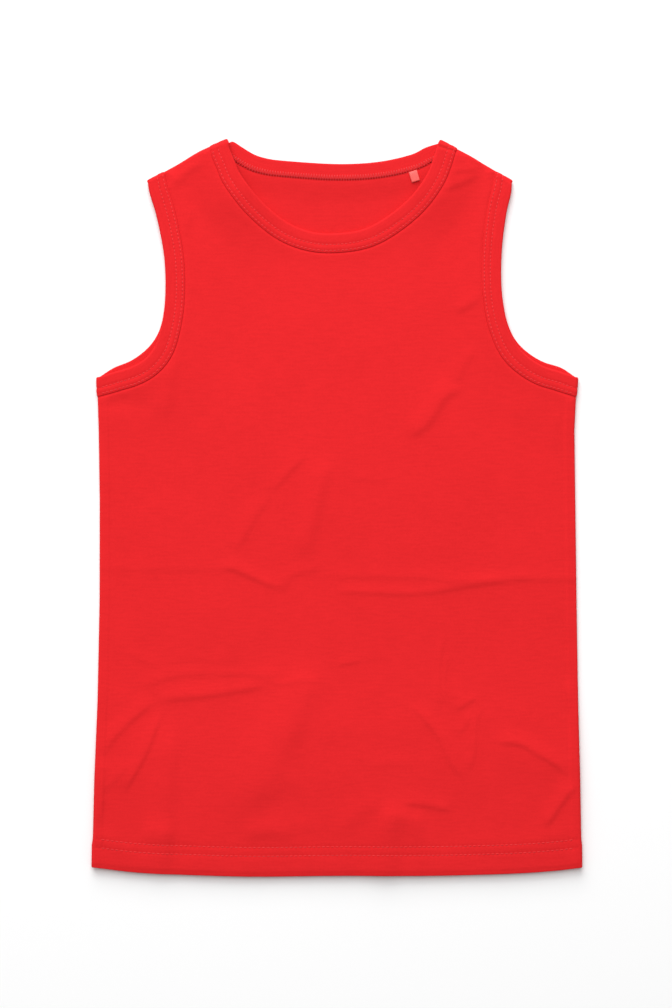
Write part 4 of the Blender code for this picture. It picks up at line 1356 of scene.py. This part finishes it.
band_stitches = {
    name: sew_band(name.replace("binding", "stitches"), band) for name, band in BANDS.items()
}
hem_stitches = sew_hem()

# %% [markdown]
# ## The thread inside the neck
#
# On the inner side, the same seam shows the looper thread. It runs to and fro between the two
# needle rows and holds down the raw edge of the strip. Only the back of the neck shows it.

# %% Looper thread
LOOPER = 0.17  # radius
LOOPER_LIES = LOOPER * 0.6  # from the face of the cloth to the middle of the thread
LOOPER_REACH = 0.7  # how far it runs past the raw edge of the strip
LOOPER_POINTS = 6
LOOPER_CLIMB = (0.12, 0.1)  # where it climbs over the raw edge and how long that takes, as shares
LOOPER_ENDS = (0.04, 0.96)  # shares of the neck: from so far past the front's part, up to here


def looper(band, first, last):
    """A zigzag over the inner side of a binding, between two shares of its length."""
    seam = Cloth()
    near, facing, along = band.line(LEG_INSIDE + LOOPER_REACH, -(WALL / 2 + LOOPER_LIES), first, last)
    far, _, _ = band.line(LEG_OUTSIDE - FAR_ROW, -(LAYER + WALL / 2 + LOOPER_LIES), first, last)
    count = int((along[-1] - along[0]) / (RUNG / 2))
    shares = np.linspace(0, 1, LOOPER_POINTS)[:, None]
    for number in range(count - 1):
        ends = (near, far) if number % 2 else (far, near)
        at = along[0] + RUNG / 2 * np.array((number, number + 1.0))
        a, b = [
            np.array([np.interp(place, along, axis) for axis in end.T]) for place, end in zip(at, ends)
        ]
        up = -np.array([np.interp(at[0], along, axis) for axis in facing.T])
        rising = shares if number % 2 else 1 - shares
        step_up = np.clip((rising - LOOPER_CLIMB[0]) / LOOPER_CLIMB[1], 0, 1)
        line = a + (b - a) * shares + up * (LAYER * (step_up - rising))
        tube(seam, line, np.tile(up, (LOOPER_POINTS, 1)), np.full(LOOPER_POINTS, LOOPER))
    return seam


front_share = lengths_along(FRONT_EDGES["neck"].raw)[-1] / BANDS["neck_binding"].length
inner_thread = make_piece(
    "neck_inner_thread",
    looper(BANDS["neck_binding"], front_share + LOOPER_ENDS[0], LOOPER_ENDS[1]),
    thread,
    wall=None,
)

# %% [markdown]
# ## Loop label
#
# A short coral tape, folded in two and caught under the binding at the back of the neck. It is
# left bare. Its fold springs open a little, and it lies at an angle.

# %% Label
LABEL_WIDTH = 5.8
LABEL_LENGTH = 7.4
LABEL_TOP_X = 53.0
LABEL_TURN = math.radians(17)
LABEL_WALL = 0.35
LABEL_RISE = 0.9  # between the two layers at the fold
LABEL_CAUGHT = 0.55  # share of that rise where the tape is caught
LABEL_TUCK = 0.35  # from the raw edge of the strip to the start of what shows
LABEL_OVER = 0.1  # air between the tape and the back
LABEL_CUP = 0.12  # how far the edges of its upper layer stand up


def label_cloth():
    neck = BACK_EDGES["neck"]
    below = neck.raw + (LEG_INSIDE + LABEL_TUCK) * neck.into
    top = np.array((LABEL_TOP_X, np.interp(LABEL_TOP_X, below[:, 0], below[:, 1])))
    down = np.array((math.sin(LABEL_TURN), -math.cos(LABEL_TURN)))
    across = turned(down)
    cloth = Cloth()
    run = np.linspace(0, LABEL_LENGTH - LABEL_RISE / 2, 12)
    turns = np.linspace(0, math.pi, 9)[1:-1]
    profile = [(d, 0.0) for d in run]
    profile += [
        (run[-1] + LABEL_RISE / 2 * math.sin(t), LABEL_RISE / 2 * (1 - math.cos(t))) for t in turns
    ]
    profile += [
        (d, LABEL_RISE * (LABEL_CAUGHT + (1 - LABEL_CAUGHT) * d / run[-1])) for d in run[::-1]
    ]
    lengths = lengths_along(np.array(profile))
    rows = []
    for share in np.linspace(-0.5, 0.5, 9):
        places = np.array([top + down * d + across * LABEL_WIDTH * share for d, _ in profile])
        lift = np.array([z for _, z in profile])
        z = back_height(places) + back_dents(places) + (WALL + LABEL_WALL) / 2 + LABEL_OVER + lift
        z += LABEL_CUP * (2 * share) ** 2 * (lift > LABEL_RISE / 2)
        rows.append(cloth.add(
            np.column_stack([places, z]),
            np.column_stack([np.full(len(profile), share * LABEL_WIDTH), lengths]),
        ))
    cloth.grid(rows)
    return cloth


label = make_piece("loop_tape", label_cloth(), tape, "loop_label", LABEL_WALL)

# %% [markdown]
# ## What was cut
#
# Each binding was cut as a flat strip, as wide as its two legs and the turn of its fold. The
# length of each strip is printed.

# %% Flat sizes
STRIP_WIDTH = LEG_OUTSIDE + LEG_INSIDE + math.pi * LAYER
for name, piece in band_pieces.items():
    extra = [inner_thread, label] if name == "neck_binding" else []
    STRIP_WIDTH * MM
    print(f"{name}: strip {BANDS[name].length:.0f} mm long")
